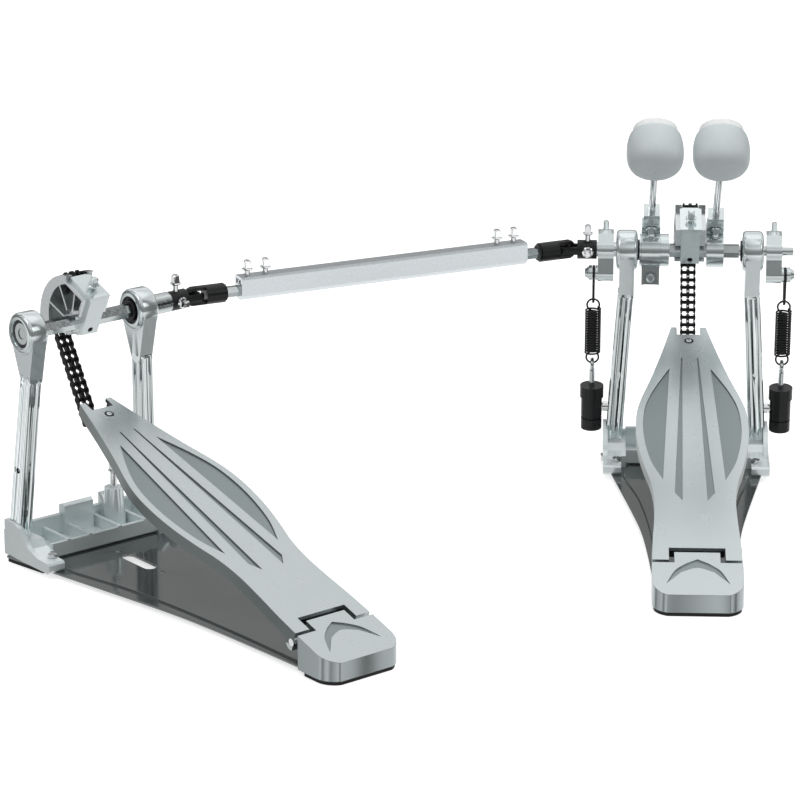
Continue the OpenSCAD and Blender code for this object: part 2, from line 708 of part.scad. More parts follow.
module board_outline(t) {
    polygon(concat(curve(inset(board_edge, t), 5), flip(curve(inset(board_edge, t), 5))));
}
leaf_top = [16.6, 250];
leaf_low = [24.2, 99];
leaf_out = [38.8, 171];
groove_low_in = [9.6, 72];
groove_low_out = [15.4, 82];
module tread_cuts() {
    mirrored() linear_extrude(10) {
        // Leaf-shaped recess
        polygon(concat(curve([leaf_top, [29, 222], [36.6, 197], leaf_out, [37.3, 146], [32.6, 121], leaf_low], 5),
            curve([leaf_low, [20.4, 176], leaf_top], 3)));
        // Straight groove that widens towards the heel
        polygon([[5.9, 265], [7, 265], groove_low_out, groove_low_in]);
    }
}
module board() {
    at_board() difference() {
        union() {
            translate([0, 0, board_rise - tread_t]) linear_extrude(tread_t) board_outline(0);
            translate([0, 0, board_rise - skirt_h]) linear_extrude(skirt_h - tread_t + eps) difference() {
                board_outline(0);
                board_outline(skirt_t);
                // Open at the toe, and behind the heel notch
                translate([-notch_half, board_tip - 40]) square([2 * notch_half, 60]);
            }
            // Two ribs under the tread
            mirrored() translate([12, 16, board_rise - tread_t - 3.4]) cube([2, board_tip - 60, 3.5]);
            // Hinge barrels at the heel
            mirrored() {
                barrel(2 * barrel_r, heel_notch_half, 34);
                translate([heel_notch_half, -2.6, 0]) cube([34 - heel_notch_half, heel_notch_end + 4, board_rise - 1]);
            }
            // Seat of the toe clip
            translate([-11, board_tip - 46, board_rise - tread_t - 3]) cube([22, 32, 3.2]);
        }
        // Notches at the toe and the heel
        translate([-notch_half, board_tip - notch_depth, -50]) cube([2 * notch_half, 60, 100]);
        translate([-heel_notch_half, -20, -50]) cube([2 * heel_notch_half, 20 + heel_notch_end, 100]);
        mirrored() {
            barrel(heel_pin_d + 2 * run_fit, heel_notch_half - 2, 36);
            // Clear of the heel plate behind the barrels
            translate([heel_notch_half - 1, -20, -20]) cube([20, 20 - 2.6, 22]);
        }
        translate([0, 0, board_rise - recess_d]) tread_cuts();
        translate([0, screw_u, 0]) cylinder(d = 4.4, h = 30);
        translate([0, screw_u, board_rise - 0.5]) cylinder(d = 7.6, h = 3);
        // Grub screw holes in the heel's end faces
        mirrored() translate([29, -3, board_rise - 4.4]) rotate([-90, 0, 0]) cylinder(d = 3, h = 7);
    }
    // Clip that holds the chain's last link, with its screw
    at_board() {
        difference() {
            union() {
                translate([-9, board_tip - 44, clip_top - 2.6]) cube([18, 33, 2.6]);
                mirrored() slab(ear_in, ear_out) polygon([[board_u - 2.7, -eye_drop + 0.6],
                    [board_u - 2, -eye_drop - 2.2], [board_u + 1.9, -eye_drop - 2],
                    [board_u + 2.7, -eye_drop + 0.6], [board_tip - 13, clip_top - 0.6],
                    [board_tip - 22, clip_top - 0.6]]);
                mirrored() translate([0, board_u, -eye_drop]) barrel(plate_h, ear_in, ear_out);
            }
            translate([0, screw_u, 0]) cylinder(d = 3.6, h = 60, center = true);
        }
        translate([0, screw_u, clip_top - 5]) cylinder(d = 3.6, h = board_rise - clip_top + 4.2);
        translate([0, screw_u, board_rise - 0.9]) cylinder(d = 7, h = 1.1);
    }
}
screw_u = board_tip - 19.5;
clip_top = board_rise - tread_t - 3;
ear_in = plate_t / 2 + 0.35;
ear_out = outer_x - 0.35;

// Beaters

// Local frame of a beater: Z up the rod, Y away from the shaft towards the felt
module at_beater(x) {
    translate([x, 0, shaft_h]) rotate([beater_lean, 0, 0]) children();
}
module holder(w, x, hub_r, hub_bore, top, split) {
    front = rod_offset - 5.6;
    at_beater(x) {
        difference() {
            union() {
                barrel(2 * hub_r, -w / 2, w / 2);
                translate([-6.5, front, -3]) cube([13, 11.2, top + 3]);
                // Cheeks beside the bolt's pocket
                translate([-w / 2, front + 0.4, 4]) cube([w, 9, 15]);
                if (split) rotate([-beater_lean - 8, 0, 0]) translate([0.4 - w / 2, -7, -28]) cube([w - 0.8, 14, 28]);
            }
            if (hub_bore > 0) barrel(hub_bore + 0.06, -w, w);
            else rotate([-beater_lean, 0, 0]) hexbar(hex_af + 0.06, -w, w);
            translate([0, rod_offset, -10]) cylinder(d = rod_d + 2 * run_fit, h = 100);
            if (split) rotate([-beater_lean - 8, 0, 0]) {
                translate([-20, -0.9, -40]) cube([40, 1.8, 34]);
                // Half-round recess of the lower bolt, between two thin walls
                translate([0, -4.2, -22.5]) rotate([90, 0, 0]) cylinder(d = 11.6, h = 10);
                translate([-6, -14.2, -32]) cube([12, 10, 9.6]);
            }
            // Bolt's pocket and shallow inset of the front face
            translate([-4.3, front - 1, hub_r - 2.4]) cube([8.6, 2.6, 21 - hub_r + 2.4]);
            translate([-4.6, front - 1, 23.4]) cube([9.2, 1.5, top - 26.4]);
            translate([0, rod_offset - 4, bolt_z]) rotate([90, 0, 0]) cylinder(d = 4.8, h = 12);
        }
        translate([0, front + 1.6, bolt_z]) rotate([90, 0, 0]) key_bolt(9.4, 0.8);
        if (split) rotate([-beater_lean - 8, 0, 0]) translate([0, -4.2, -22.5]) rotate([90, 0, 0]) {
            translate([0, 0, -7.6]) cylinder(d = 4.6, h = 8);
            cylinder(d = 7, h = 3);
            translate([0, 0, 2.99]) cylinder(d1 = 7, d2 = 4, h = 1.6);
        }
    }
}
bolt_z = 16.5;
holder_right_x = 20.3;
holder_left_x = -32;
holder_right_top = 33;
holder_left_top = 38;
rod_low = -4;
module beater_rod(x) {
    at_beater(x) translate([0, rod_offset, rod_low]) {
        cylinder(d = rod_d, h = head_reach - rod_low + 9);
        translate([0, 0, -1]) cylinder(d1 = rod_d - 2, d2 = rod_d, h = 1.01);
    }
}
module beater_head(x) {
    at_beater(x) translate([0, rod_offset, head_reach]) difference() {
        // Barrel with a domed back, turned about the felt's direction
        rotate([-90, 0, 0]) translate([0, 0, -head_depth / 2]) rotate_extrude($fn = 64)
            polygon(concat([[0, 0]], curve([[head_d * 0.12, 0.15], [head_d * 0.27, 1.1],
                [head_d * 0.385, 3.4], [head_d * 0.455, 7], [head_d * 0.49, 11.7], [head_d * 0.5, 17.8],
                [head_d * 0.494, 24.3], [head_d * 0.472, 29.9], [head_d * 0.445, 33.6],
                [head_d * 0.405, head_depth]], 3), [[0, head_depth]]));
        translate([0, 0, -40]) cylinder(d = rod_d + 2 * run_fit, h = 49.2);
        // Seat of the felt
        translate([0, head_depth / 2 - 2, 0]) rotate([-90, 0, 0]) cylinder(d = head_d * 0.79, h = 10);
    }
}
module beater_felt(x) {
    at_beater(x) translate([0, rod_offset + head_depth / 2 - 2, head_reach]) rotate([-90, 0, 0])
        rotate_extrude($fn = 64) polygon(concat([[0, 0], [head_d * 0.39, 0]],
            arc([head_d * 0.39 - 2.4, felt_t - 0.4], 2.4, 0, 90, 5), [[0, felt_t + 2]]));
}

// Spring levers and springs

module lever(side, bore) {
    at_shaft() scale([side, 1, 1]) {
        difference() {
            slab(lever_in, lever_out) union() {
                circle(r = 10.2);
                rotate(-lever_lag) translate([-7.2, -lever_reach]) square([14.4, lever_reach]);
                rotate(-lever_lag) translate([0, -lever_reach]) circle(r = 7.2);
                translate([-7, 0]) square([14, 15.4]);
            }
            barrel(bore + 0.06, lever_in - 1, lever_out + 1);
            // Split over the shaft
            translate([lever_in - 1, -0.8, 0]) cube([lever_w + 2, 1.6, 12.4]);
        }
        translate([(lever_in + lever_out) / 2, 0, 15.4]) round_post();
        // Grooved roller with a domed screw
        translate([0, roller_y, roller_z - shaft_h]) {
            barrel(2 * washer_r, lever_out, spring_x - stirrup_t / 2 - pass_gap);
            barrel(2 * groove_r, spring_x - 2, spring_x + 2);
            barrel(2 * washer_r, spring_x + stirrup_t / 2 + pass_gap, spring_x + 4.2);
            translate([spring_x + 4.2 - eps, 0, 0]) rotate([0, 90, 0]) cylinder(d1 = 10.4, d2 = 6.4, h = 3.2);
        }
    }
}
module stirrup(side) {
    at_spring(side) slab(-stirrup_t / 2, stirrup_t / 2) difference() {
        union() {
            translate([0, stirrup_top_u]) circle(r = stirrup_r + 2);
            translate([0, stirrup_low_u]) circle(r = stirrup_low_r + 2);
            polygon([[-stirrup_r - 2, stirrup_top_u], [-stirrup_low_r - 2, stirrup_low_u],
                [stirrup_low_r + 2, stirrup_low_u], [stirrup_r + 2, stirrup_top_u]]);
        }
        translate([0, stirrup_top_u]) circle(r = stirrup_r);
        translate([0, stirrup_low_u]) circle(r = stirrup_low_r);
        polygon([[-stirrup_r, stirrup_top_u], [-stirrup_low_r, stirrup_low_u],
            [stirrup_low_r, stirrup_low_u], [stirrup_r, stirrup_top_u]]);
    }
}

// The spring's wire runs in one piece: lower hook, curls, upper hook
rings = 8;
sides = 6;
hook_rings = 14;
function hook_path(centre, a0, a1) = [for (i = [0:hook_rings])
    let (a = a0 + (a1 - a0) * i / hook_rings) [hook_r * cos(a), 0, centre + hook_r * sin(a)]];
// Eases the wire from the coil's side to the hook's plane
spring_path = concat(
    hook_path(hook_low_u + hook_r, 110, 395),
    [for (i = [0:curls * rings]) let (t = i / (curls * rings), a = 45 + 360 * curls * t)
        [coil_r * cos(a), coil_r * sin(a), coil_u0 + curls * coil_pitch * t]],
    hook_path(hook_top_u - hook_r, -35, 250));
function unit(v) = v / norm(v);
function tube_points(p, r, n) = [for (i = [0:len(p) - 1])
    let (t = unit(p[min(i + 1, len(p) - 1)] - p[max(i - 1, 0)]),
        s = unit(cross(t, abs(t[2]) > 0.9 ? [0, 1, 0] : [0, 0, 1])), w = cross(t, s))
    for (k = [0:n - 1]) p[i] + r * (s * cos(360 * k / n) + w * sin(360 * k / n))];
module sweep(p, r, n) {
    m = len(p);
    polyhedron(points = concat(tube_points(p, r, n), [p[0], p[m - 1]]), faces = concat(
        [for (i = [0:m - 2], k = [0:n - 1]) [i * n + k, i * n + (k + 1) % n, (i + 1) * n + (k + 1) % n]],
        [for (i = [0:m - 2], k = [0:n - 1]) [i * n + k, (i + 1) * n + (k + 1) % n, (i + 1) * n + k]],
        [for (k = [0:n - 1]) [m * n, (k + 1) % n, k]],
        [for (k = [0:n - 1]) [m * n + 1, (m - 1) * n + k, (m - 1) * n + (k + 1) % n]]));
}
// Least gap of the wire to itself, measured on points at least six apart
spring_gap = min([for (i = [0:len(spring_path) - 7], j = [i + 6:len(spring_path) - 1])
    norm(spring_path[i] - spring_path[j])]) - wire_d;
echo(spring_gap = spring_gap);
module spring(side) {
    at_spring(side) sweep(spring_path, wire_d / 2, sides);
}
module eye_bolt(side) {
    at_spring(side) {
        translate([0, 0, eye_u]) rotate([0, 90, 0]) rotate_extrude() translate([eye_hole_r + eye_wire / 2, 0])
            circle(d = eye_wire, $fn = 24);
        translate([0, 0, adjuster_low - 1.6]) cylinder(d = 4.6, h = eye_u - eye_hole_r - adjuster_low + 0.4);
    }
}
eye_wire = 3.2;
module adjuster(side) {
    at_spring(side) difference() {
        translate([0, 0, adjuster_low]) union() {
            cylinder(r = 8.7, h = 38);
            translate([0, 0, 28]) cylinder(r = 9.8, h = 10);
        }
        translate([0, 0, adjuster_low + 9.4]) difference() {
            cylinder(r = 12, h = 2);
            translate([0, 0, -1]) cylinder(r = 7.8, h = 4);
        }
        // Thread of the eye bolt, and the bore that turns on the stub axle
        translate([0, 0, adjuster_low - 1]) cylinder(d = 4.8, h = 60);
        scale([side, 1, 1]) barrel(5 + 2 * run_fit, -30, -1.9);
    }
}

// Drive shaft

// Two ears along Y, rounded about the joint's centre, on a shank that leaves along +X
module fork(pin_bore) {
    difference() {
        rotate([0, 90, 0]) rotate_extrude($fn = 64) polygon([[0, -6.9], [joint_d / 2 - 3.1, -6.9],
            [joint_d / 2 - 0.9, -4.6], [joint_d / 2, -2.2], [joint_d / 2, joint_fork + 2], [0, joint_fork + 2]]);
        for (z = [ear_half, -ear_half - 20]) translate([-20, -20, z]) cube([20 + joint_fork, 40, 20]);
        translate([-20, -joint_gap / 2, -20]) cube([20 + joint_fork, joint_gap, 40]);
        rotate([90, 0, 0]) cylinder(d = pin_bore, h = 40, center = true);
    }
}
module clamp_yoke() {
    difference() {
        union() {
            fork(cross_pin_d + 2 * run_fit);
            barrel(joint_d, joint_fork + 1, joint_fork + 16);
        }
        children();
        translate([17.5, 0, 4]) cylinder(d = 4.8, h = 12);
        translate([17.5, -4, 0]) rotate([90, 0, 0]) cylinder(d = 4.8, h = 12);
    }
    translate([17.5, 0, joint_d / 2]) key_bolt(13, 1.6);
    translate([17.5, -joint_d / 2, 0]) rotate([90, 0, 0]) key_bolt(9, 1.6);
}
module cross_block() {
    // Pin along Y turns in the clamp yoke, stubs along Z reach the rod's yoke
    cube(2 * cross_half, center = true);
    rotate([90, 0, 0]) cylinder(d = cross_pin_d, h = joint_d - 0.8, center = true);
    cylinder(d = cross_pin_d, h = joint_d - 1.4, center = true);
}
module rod_yoke(rod_in) {
    // Runs along +X from the joint's centre to the end of the rod, ears along Z
    rotate([90, 0, 0]) fork(cross_pin_d + 0.9);
    barrel(joint_d, joint_fork + 1, rod_yoke_len);
    barrel(joint_d - 2.4, rod_yoke_len - 1, rod_yoke_len + 1.6);
    hexbar(link_af, rod_yoke_len, tube_start + rod_in);
}
module tube() {
    c = 3.6;
    difference() {
        translate([tube_start, 0, bore_drop]) slab(0, tube_len) difference() {
            polygon([[-tube_w / 2, -tube_h / 2 + c], [-tube_w / 2, tube_h / 2 - 1.6], [-tube_w / 2 + 1.6, tube_h / 2],
                [tube_w / 2 - 1.6, tube_h / 2], [tube_w / 2, tube_h / 2 - 1.6], [tube_w / 2, -tube_h / 2 + c],
                [tube_w / 2 - c, -tube_h / 2], [-tube_w / 2 + c, -tube_h / 2]]);
            // Upper chamber with a crossed web
            translate([-4.6, 2.9]) difference() {
                square([9.2, 4.2]);
                translate([4.6, 2.1]) rotate(45) square([1, 14], center = true);
                translate([4.6, 2.1]) rotate(-45) square([1, 14], center = true);
            }
        }
        hexbar(link_af + 2 * run_fit, tube_start - 1, tube_start + tube_len + 1);
        for (x = tube_bolts) translate([x, 0, 0]) cylinder(d = 4.8, h = 40);
    }
    for (x = tube_bolts) translate([x, 0, bore_drop + tube_h / 2]) key_bolt(12.5, 5.8);
}
tube_bolts = [tube_start + 9.5, tube_start + 24.5, tube_start + tube_len - 23, tube_start + tube_len - 7.5];

// Hoop clamp

module jaw() {
    difference() {
        union() {
            // Barrel between the ears, arm over the hoop, and the pad's lip
            translate([0, jaw_pin_y + 2.5, jaw_pin_z]) barrel(9, -12.6, 5.6);
            slab(-12.6, 5.6) polygon([[jaw_pin_y + 1, jaw_pin_z + 4.4], [jaw_pin_y + 4, jaw_pin_z - 2],
                [jaw_y0 + 5, upper_z + 2], [jaw_y0 + 5, upper_z + 7.4], [jaw_pin_y + 2, upper_z + 7.4]]);
            translate([-jaw_w / 2, jaw_y0 + 2, upper_z + 1.6]) cube([jaw_w, jaw_reach - 2, jaw_t]);
            translate([-jaw_w / 2, jaw_y1 - 7, upper_z]) cube([jaw_w, 7, 3]);
            // Ear over the tower, which its bolt lifts to close the jaw
            slab(tower_x - 8, tower_x + 8) polygon([[tower_y - 7.5, tower_z + 1], [jaw_y0 + 8, tower_z + 1],
                [jaw_y0 + 8, tower_z + 6], [tower_y - 7.5, tower_z + 6]]);
            slab(5, tower_x + 8) polygon([[jaw_y0 + 2, upper_z + 1.6], [jaw_y0 + 10, upper_z + 1.6],
                [jaw_y0 + 10, upper_z + 1.6 + jaw_t], [jaw_y0 + 8, tower_z + 6], [jaw_y0 + 2, tower_z + 6]]);
        }
        translate([0, jaw_pin_y + 2.5, jaw_pin_z]) barrel(jaw_pin_d + 2 * run_fit, -40, 40);
        translate([tower_x, tower_y, 0]) cylinder(d = clamp_bolt_d + 0.2, h = 80);
    }
}
module hoop_bolt() {
    translate([tower_x, tower_y, tower_z + 0.1]) {
        cylinder(d = clamp_bolt_d, h = 9);
        translate([0, 0, 7.5]) key_bolt(11, 0);
    }
}
module anchor() {
    translate([tower_x, tower_y, 0]) {
        translate([0, 0, 17]) cylinder(d = clamp_bolt_d, h = tower_z - 5);
        translate([0, 0, 14]) cylinder(d1 = 2, d2 = clamp_bolt_d, h = 3.01);
        translate([0, 0, tower_z + 11]) key_bolt(10, 0);
    }
}

// Nodes of the main pedal

module base_plate() color("dimgray") base_sheet();
module frame_casting() color("silver") casting(true);
module posts() color("gainsboro") mirrored() post(true);
module bearings() color("#333333") {
    bearing() barrel(journal_d + 2 * run_fit, 0, 100);
    mirror([1, 0, 0]) bearing() barrel(sleeve_d + 2 * run_fit, 0, 100);
}
module heel_plate() color("lightgray") heel_shell();
module rubber_feet() color("#222222") feet();
module frame_fasteners() color("whitesmoke") fasteners(true);
module hex_shaft() color("silver") at_shaft() {
    hexbar(hex_af, -16.6, housing_in - 2.6);
    barrel(journal_d, -38, lever_out + 1);
    barrel(6.6, lever_out, lever_out + 9.5);
}
module cam() color("gainsboro") cam_body();
module chain_strap() color("silver") strap();
module chain_wrap() color("#222222") wrap_links();
module beater_holder_right() color("gainsboro")
    holder(14, holder_right_x, 13.3, 0, holder_right_top, false);
module spring_lever_right() color("gainsboro") lever(1, journal_d);
module sleeve_shaft() color("silver") at_shaft() difference() {
    union() {
        barrel(sleeve_d, -joint_main_x + joint_fork + 4, -17.2);
        barrel(26.8, -24.3, -17.2);
        barrel(26.8, -41.2, -39.7);
    }
    barrel(journal_d + 2 * run_fit, -39.5, 0);
}
module beater_holder_left() color("gainsboro")
    holder(15.2, holder_left_x, 14.6, sleeve_d, holder_left_top, true);
module spring_lever_left() color("gainsboro") lever(-1, sleeve_d);
module drive_yoke() color("#262626") translate([-joint_main_x, 0, shaft_h]) clamp_yoke() barrel(sleeve_d + 0.06, joint_fork + 4, 60);
module beater_rod_right() color("silver") beater_rod(holder_right_x);
module beater_head_right() color("lightgray") beater_head(holder_right_x);
module beater_felt_right() color("white") beater_felt(holder_right_x);
module beater_rod_left() color("silver") beater_rod(holder_left_x);
module beater_head_left() color("lightgray") beater_head(holder_left_x);
module beater_felt_left() color("white") beater_felt(holder_left_x);
module stirrup_right() color("#222222") stirrup(1);
module spring_right() color("#1e1e1e") spring(1);
module eye_bolt_right() color("silver") eye_bolt(1);
module spring_adjuster_right() color("#262626") adjuster(1);
module stirrup_left() color("#222222") stirrup(-1);
module spring_left() color("#1e1e1e") spring(-1);
module eye_bolt_left() color("silver") eye_bolt(-1);
module spring_adjuster_left() color("#262626") adjuster(-1);
module chain_upper() color("#222222") link_pair(leave_a);
module chain_middle() color("#222222") link_pair(pair2_a);
module chain_run() color("#222222") run_chain();
module footboard() color("lightgray") board();

// Nodes of the drive shaft and the hoop clamp

module joint_cross_main() color("#333333") translate([-joint_main_x, 0, shaft_h]) cross_block();
module link_rod_main() color("silver") at_link() rod_yoke(rod_main_in);
module link_tube() color("gainsboro") at_link() tube();
module hoop_jaw() color("silver") jaw();
module hoop_clamp_bolt() color("whitesmoke") hoop_bolt();

// Nodes of the second pedal

module slave_base_plate() color("dimgray") at_slave() base_sheet();
module slave_casting() color("silver") at_slave() casting(false);
module slave_posts() color("gainsboro") at_slave() mirrored() post(false);
module slave_bearings() color("#333333") at_slave() mirrored() bearing() barrel(journal_d + 2 * run_fit, 0, 100);
module slave_heel_plate() color("lightgray") at_slave() heel_shell();
module slave_feet() color("#222222") at_slave() feet();
module slave_fasteners() color("whitesmoke") at_slave() fasteners(false);
module slave_shaft() color("silver") at_slave() at_shaft() {
    hexbar(hex_af, -housing_in + 2.6, housing_in - 2.6);
    barrel(journal_d, -housing_out + 2.8, joint_slave_x - joint_fork - 4);
    barrel(16, housing_out + 1, joint_slave_x - joint_fork - 16.4);
}
module slave_cam() color("gainsboro") at_slave() cam_body();
module slave_chain_strap() color("silver") at_slave() strap();
module slave_chain_wrap() color("#222222") at_slave() wrap_links();
module slave_yoke() color("#262626") at_slave() translate([joint_slave_x, 0, shaft_h]) mirror([1, 0, 0])
    clamp_yoke() barrel(journal_d + 0.06, joint_fork + 4, 60);
module slave_chain_upper() color("#222222") at_slave() link_pair(leave_a);
module slave_chain_middle() color("#222222") at_slave() link_pair(pair2_a);
module slave_chain_run() color("#222222") at_slave() run_chain();
module slave_footboard() color("lightgray") at_slave() board();
module joint_cross_slave() color("#333333") at_slave() translate([joint_slave_x, 0, shaft_h]) cross_block();
module link_rod_slave() color("silver") translate([slave_joint[0], slave_joint[1], shaft_h])
    rotate([0, 0, joint_main_bend]) rod_yoke(rod_slave_in);
module anchor_bolt() color("whitesmoke") at_slave() anchor();

base_plate();
frame_casting();
posts();
bearings();
heel_plate();
rubber_feet();
frame_fasteners();
hex_shaft();
cam();
chain_strap();
chain_wrap();
beater_holder_right();
spring_lever_right();
sleeve_shaft();
beater_holder_left();
spring_lever_left();
drive_yoke();
beater_rod_right();
beater_head_right();
beater_felt_right();
beater_rod_left();
beater_head_left();
beater_felt_left();
stirrup_right();
spring_right();
eye_bolt_right();
spring_adjuster_right();
stirrup_left();
spring_left();
eye_bolt_left();
spring_adjuster_left();
chain_upper();
chain_middle();
chain_run();
footboard();
joint_cross_main();
link_rod_main();
link_tube();
hoop_jaw();
hoop_clamp_bolt();
slave_base_plate();
slave_casting();
slave_posts();
slave_bearings();
slave_heel_plate();
slave_feet();
slave_fasteners();
slave_shaft();
slave_cam();
slave_chain_strap();
slave_chain_wrap();
slave_yoke();
slave_chain_upper();
slave_chain_middle();
slave_chain_run();
slave_footboard();
joint_cross_slave();
link_rod_slave();
anchor_bolt();
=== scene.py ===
"""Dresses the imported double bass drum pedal: finishes, fine pieces, studio and camera.

Every length is in metres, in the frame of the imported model: X along the main
rocker shaft, Y towards the drum, Z up, origin on the floor under that shaft.
"""

import json
import logging
import math
from dataclasses import dataclass, field
from enum import Enum
from typing import Any, Callable, Dict, List, Optional, Sequence, Tuple, Union

import bmesh
import bpy
from mathutils import Matrix, Vector

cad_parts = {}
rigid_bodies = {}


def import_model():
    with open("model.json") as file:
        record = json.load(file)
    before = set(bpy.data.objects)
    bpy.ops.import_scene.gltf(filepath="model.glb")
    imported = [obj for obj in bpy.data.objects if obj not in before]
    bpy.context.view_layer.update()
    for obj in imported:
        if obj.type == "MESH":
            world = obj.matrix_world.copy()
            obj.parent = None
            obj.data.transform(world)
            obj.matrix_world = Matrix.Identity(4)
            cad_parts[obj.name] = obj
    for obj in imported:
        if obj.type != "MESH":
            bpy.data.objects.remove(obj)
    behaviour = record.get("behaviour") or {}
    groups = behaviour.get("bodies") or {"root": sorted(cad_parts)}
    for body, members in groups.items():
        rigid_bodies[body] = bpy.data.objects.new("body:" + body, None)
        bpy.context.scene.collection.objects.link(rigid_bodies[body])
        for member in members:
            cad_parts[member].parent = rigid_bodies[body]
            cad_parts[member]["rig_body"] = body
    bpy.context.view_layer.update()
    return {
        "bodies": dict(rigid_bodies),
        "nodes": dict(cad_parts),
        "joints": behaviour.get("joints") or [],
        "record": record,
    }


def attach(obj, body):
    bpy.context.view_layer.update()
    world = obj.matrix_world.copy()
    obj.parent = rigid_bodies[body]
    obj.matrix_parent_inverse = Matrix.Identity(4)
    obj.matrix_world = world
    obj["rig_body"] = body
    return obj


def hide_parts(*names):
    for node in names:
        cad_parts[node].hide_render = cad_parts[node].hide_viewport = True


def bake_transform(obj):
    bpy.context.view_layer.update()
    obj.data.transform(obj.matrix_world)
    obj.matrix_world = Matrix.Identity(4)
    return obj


LOG = logging.getLogger("pedal")
Colour = Tuple[float, float, float]
Point = Tuple[float, float, float]
Stops = Sequence[Tuple[float, float]]
Frame = Dict[str, Any]
Mesh = bmesh.types.BMesh
Face = bmesh.types.BMFace
MM = 0.001
WELD = 1e-6  # Vertices nearer than this are one
Z_AXIS = Vector((0.0, 0.0, 1.0))


# Finishes


class Pattern(Enum):
    """How the grain of a finish lies."""

    PLAIN = "plain"
    BRUSHED = "brushed"
    FELT = "felt"


@dataclass(frozen=True)
class Finish:
    """One surface finish, built as a node material on Object coordinates."""

    name: str
    base: Colour
    metallic: float
    roughness: float
    rough_spread: float
    tone_spread: float
    grain: float
    bump: float = 0.0
    pattern: Pattern = Pattern.PLAIN
    coat: float = 0.0
    sheen: float = 0.0
    turn: float = 0.0
    coat_roughness: float = 0.08
    brushing: Tuple[float, float, float] = (0.04, 1.0, 1.0)
    broad_share: float = 0.07
    fine_octaves: float = 4.0
    broad_octaves: float = 3.0
    octave_gain: float = 0.6
    fine_weight: float = 0.4
    tone_span: Tuple[float, float] = (0.45, 0.95)
    rough_span: Tuple[float, float] = (0.3, 0.7)
    rough_limits: Tuple[float, float] = (0.02, 1.0)
    bump_depth: float = 0.4 * MM

    def build(self) -> bpy.types.Material:
        """Makes the node material once.

        Returns:
            The material.
        """
        label = "look_" + self.name  # The CAD's own materials keep the plain slot names
        made = bpy.data.materials.get(label)
        if made:
            return made
        made = bpy.data.materials.new(label)
        made.use_nodes = True
        tree = made.node_tree
        shader = tree.nodes["Principled BSDF"]
        shader.inputs["Metallic"].default_value = self.metallic
        shader.inputs["Coat Weight"].default_value = self.coat
        shader.inputs["Coat Roughness"].default_value = self.coat_roughness
        shader.inputs["Sheen Weight"].default_value = self.sheen
        place = tree.nodes.new("ShaderNodeTexCoord")
        mapping = tree.nodes.new("ShaderNodeMapping")
        mapping.inputs["Rotation"].default_value = (0.0, 0.0, self.turn)
        if self.pattern is Pattern.BRUSHED:
            mapping.inputs["Scale"].default_value = self.brushing
        tree.links.new(place.outputs["Object"], mapping.inputs["Vector"])
        fine = self._noise(tree, mapping, self.grain, self.fine_octaves)
        broad = self._noise(tree, mapping, self.grain * self.broad_share, self.broad_octaves)
        self._colour(tree, shader, broad, fine)
        self._roughness(tree, shader, broad, fine)
        if self.bump > 0:
            self._relief(tree, shader, fine)
        return made

    def _noise(self, tree: bpy.types.NodeTree, place: bpy.types.Node, scale: float,
               detail: float) -> bpy.types.Node:
        """Adds a noise texture.

        Args:
            tree: the material's node tree.
            place: the node that gives the coordinates.
            scale: features per metre.
            detail: number of octaves.

        Returns:
            The noise node.
        """
        noise = tree.nodes.new("ShaderNodeTexNoise")
        noise.inputs["Scale"].default_value = scale
        noise.inputs["Detail"].default_value = detail
        noise.inputs["Roughness"].default_value = self.octave_gain
        tree.links.new(place.outputs["Vector"], noise.inputs["Vector"])
        return noise

    def _colour(self, tree: bpy.types.NodeTree, shader: bpy.types.Node, broad: bpy.types.Node,
                fine: bpy.types.Node) -> None:
        """Blends the base colour between a darker and a lighter tone.

        Args:
            tree: the material's node tree.
            shader: the surface shader.
            broad: the coarse noise.
            fine: the fine noise.
        """
        mix = tree.nodes.new("ShaderNodeMath")
        mix.operation = "MULTIPLY_ADD"
        mix.inputs[1].default_value = self.fine_weight
        tree.links.new(fine.outputs["Fac"], mix.inputs[0])
        tree.links.new(broad.outputs["Fac"], mix.inputs[2])
        ramp = tree.nodes.new("ShaderNodeValToRGB")
        ends = ramp.color_ramp.elements
        for end, where, share in zip(ends, self.tone_span, (-self.tone_spread, self.tone_spread)):
            end.position = where
            end.color = (*[min(c * (1.0 + share), 1.0) for c in self.base], 1.0)
        tree.links.new(mix.outputs[0], ramp.inputs["Fac"])
        tree.links.new(ramp.outputs["Color"], shader.inputs["Base Color"])

    def _roughness(self, tree: bpy.types.NodeTree, shader: bpy.types.Node,
                   broad: bpy.types.Node, fine: bpy.types.Node) -> None:
        """Varies the roughness with the same noise.

        Args:
            tree: the material's node tree.
            shader: the surface shader.
            broad: the coarse noise, for plain surfaces.
            fine: the fine noise, for brushed metal and felt.
        """
        spread = tree.nodes.new("ShaderNodeMapRange")
        spread.inputs["From Min"].default_value = self.rough_span[0]
        spread.inputs["From Max"].default_value = self.rough_span[1]
        low, high = self.rough_limits
        spread.inputs["To Min"].default_value = max(self.roughness - self.rough_spread, low)
        spread.inputs["To Max"].default_value = min(self.roughness + self.rough_spread, high)
        source = broad if self.pattern is Pattern.PLAIN else fine
        tree.links.new(source.outputs["Fac"], spread.inputs["Value"])
        tree.links.new(spread.outputs["Result"], shader.inputs["Roughness"])

    def _relief(self, tree: bpy.types.NodeTree, shader: bpy.types.Node,
                fine: bpy.types.Node) -> None:
        """Adds the fine bump of the surface.

        Args:
            tree: the material's node tree.
            shader: the surface shader.
            fine: the fine noise.
        """
        bump = tree.nodes.new("ShaderNodeBump")
        bump.inputs["Strength"].default_value = self.bump
        bump.inputs["Distance"].default_value = self.bump_depth
        tree.links.new(fine.outputs["Fac"], bump.inputs["Height"])
        tree.links.new(bump.outputs["Normal"], shader.inputs["Normal"])


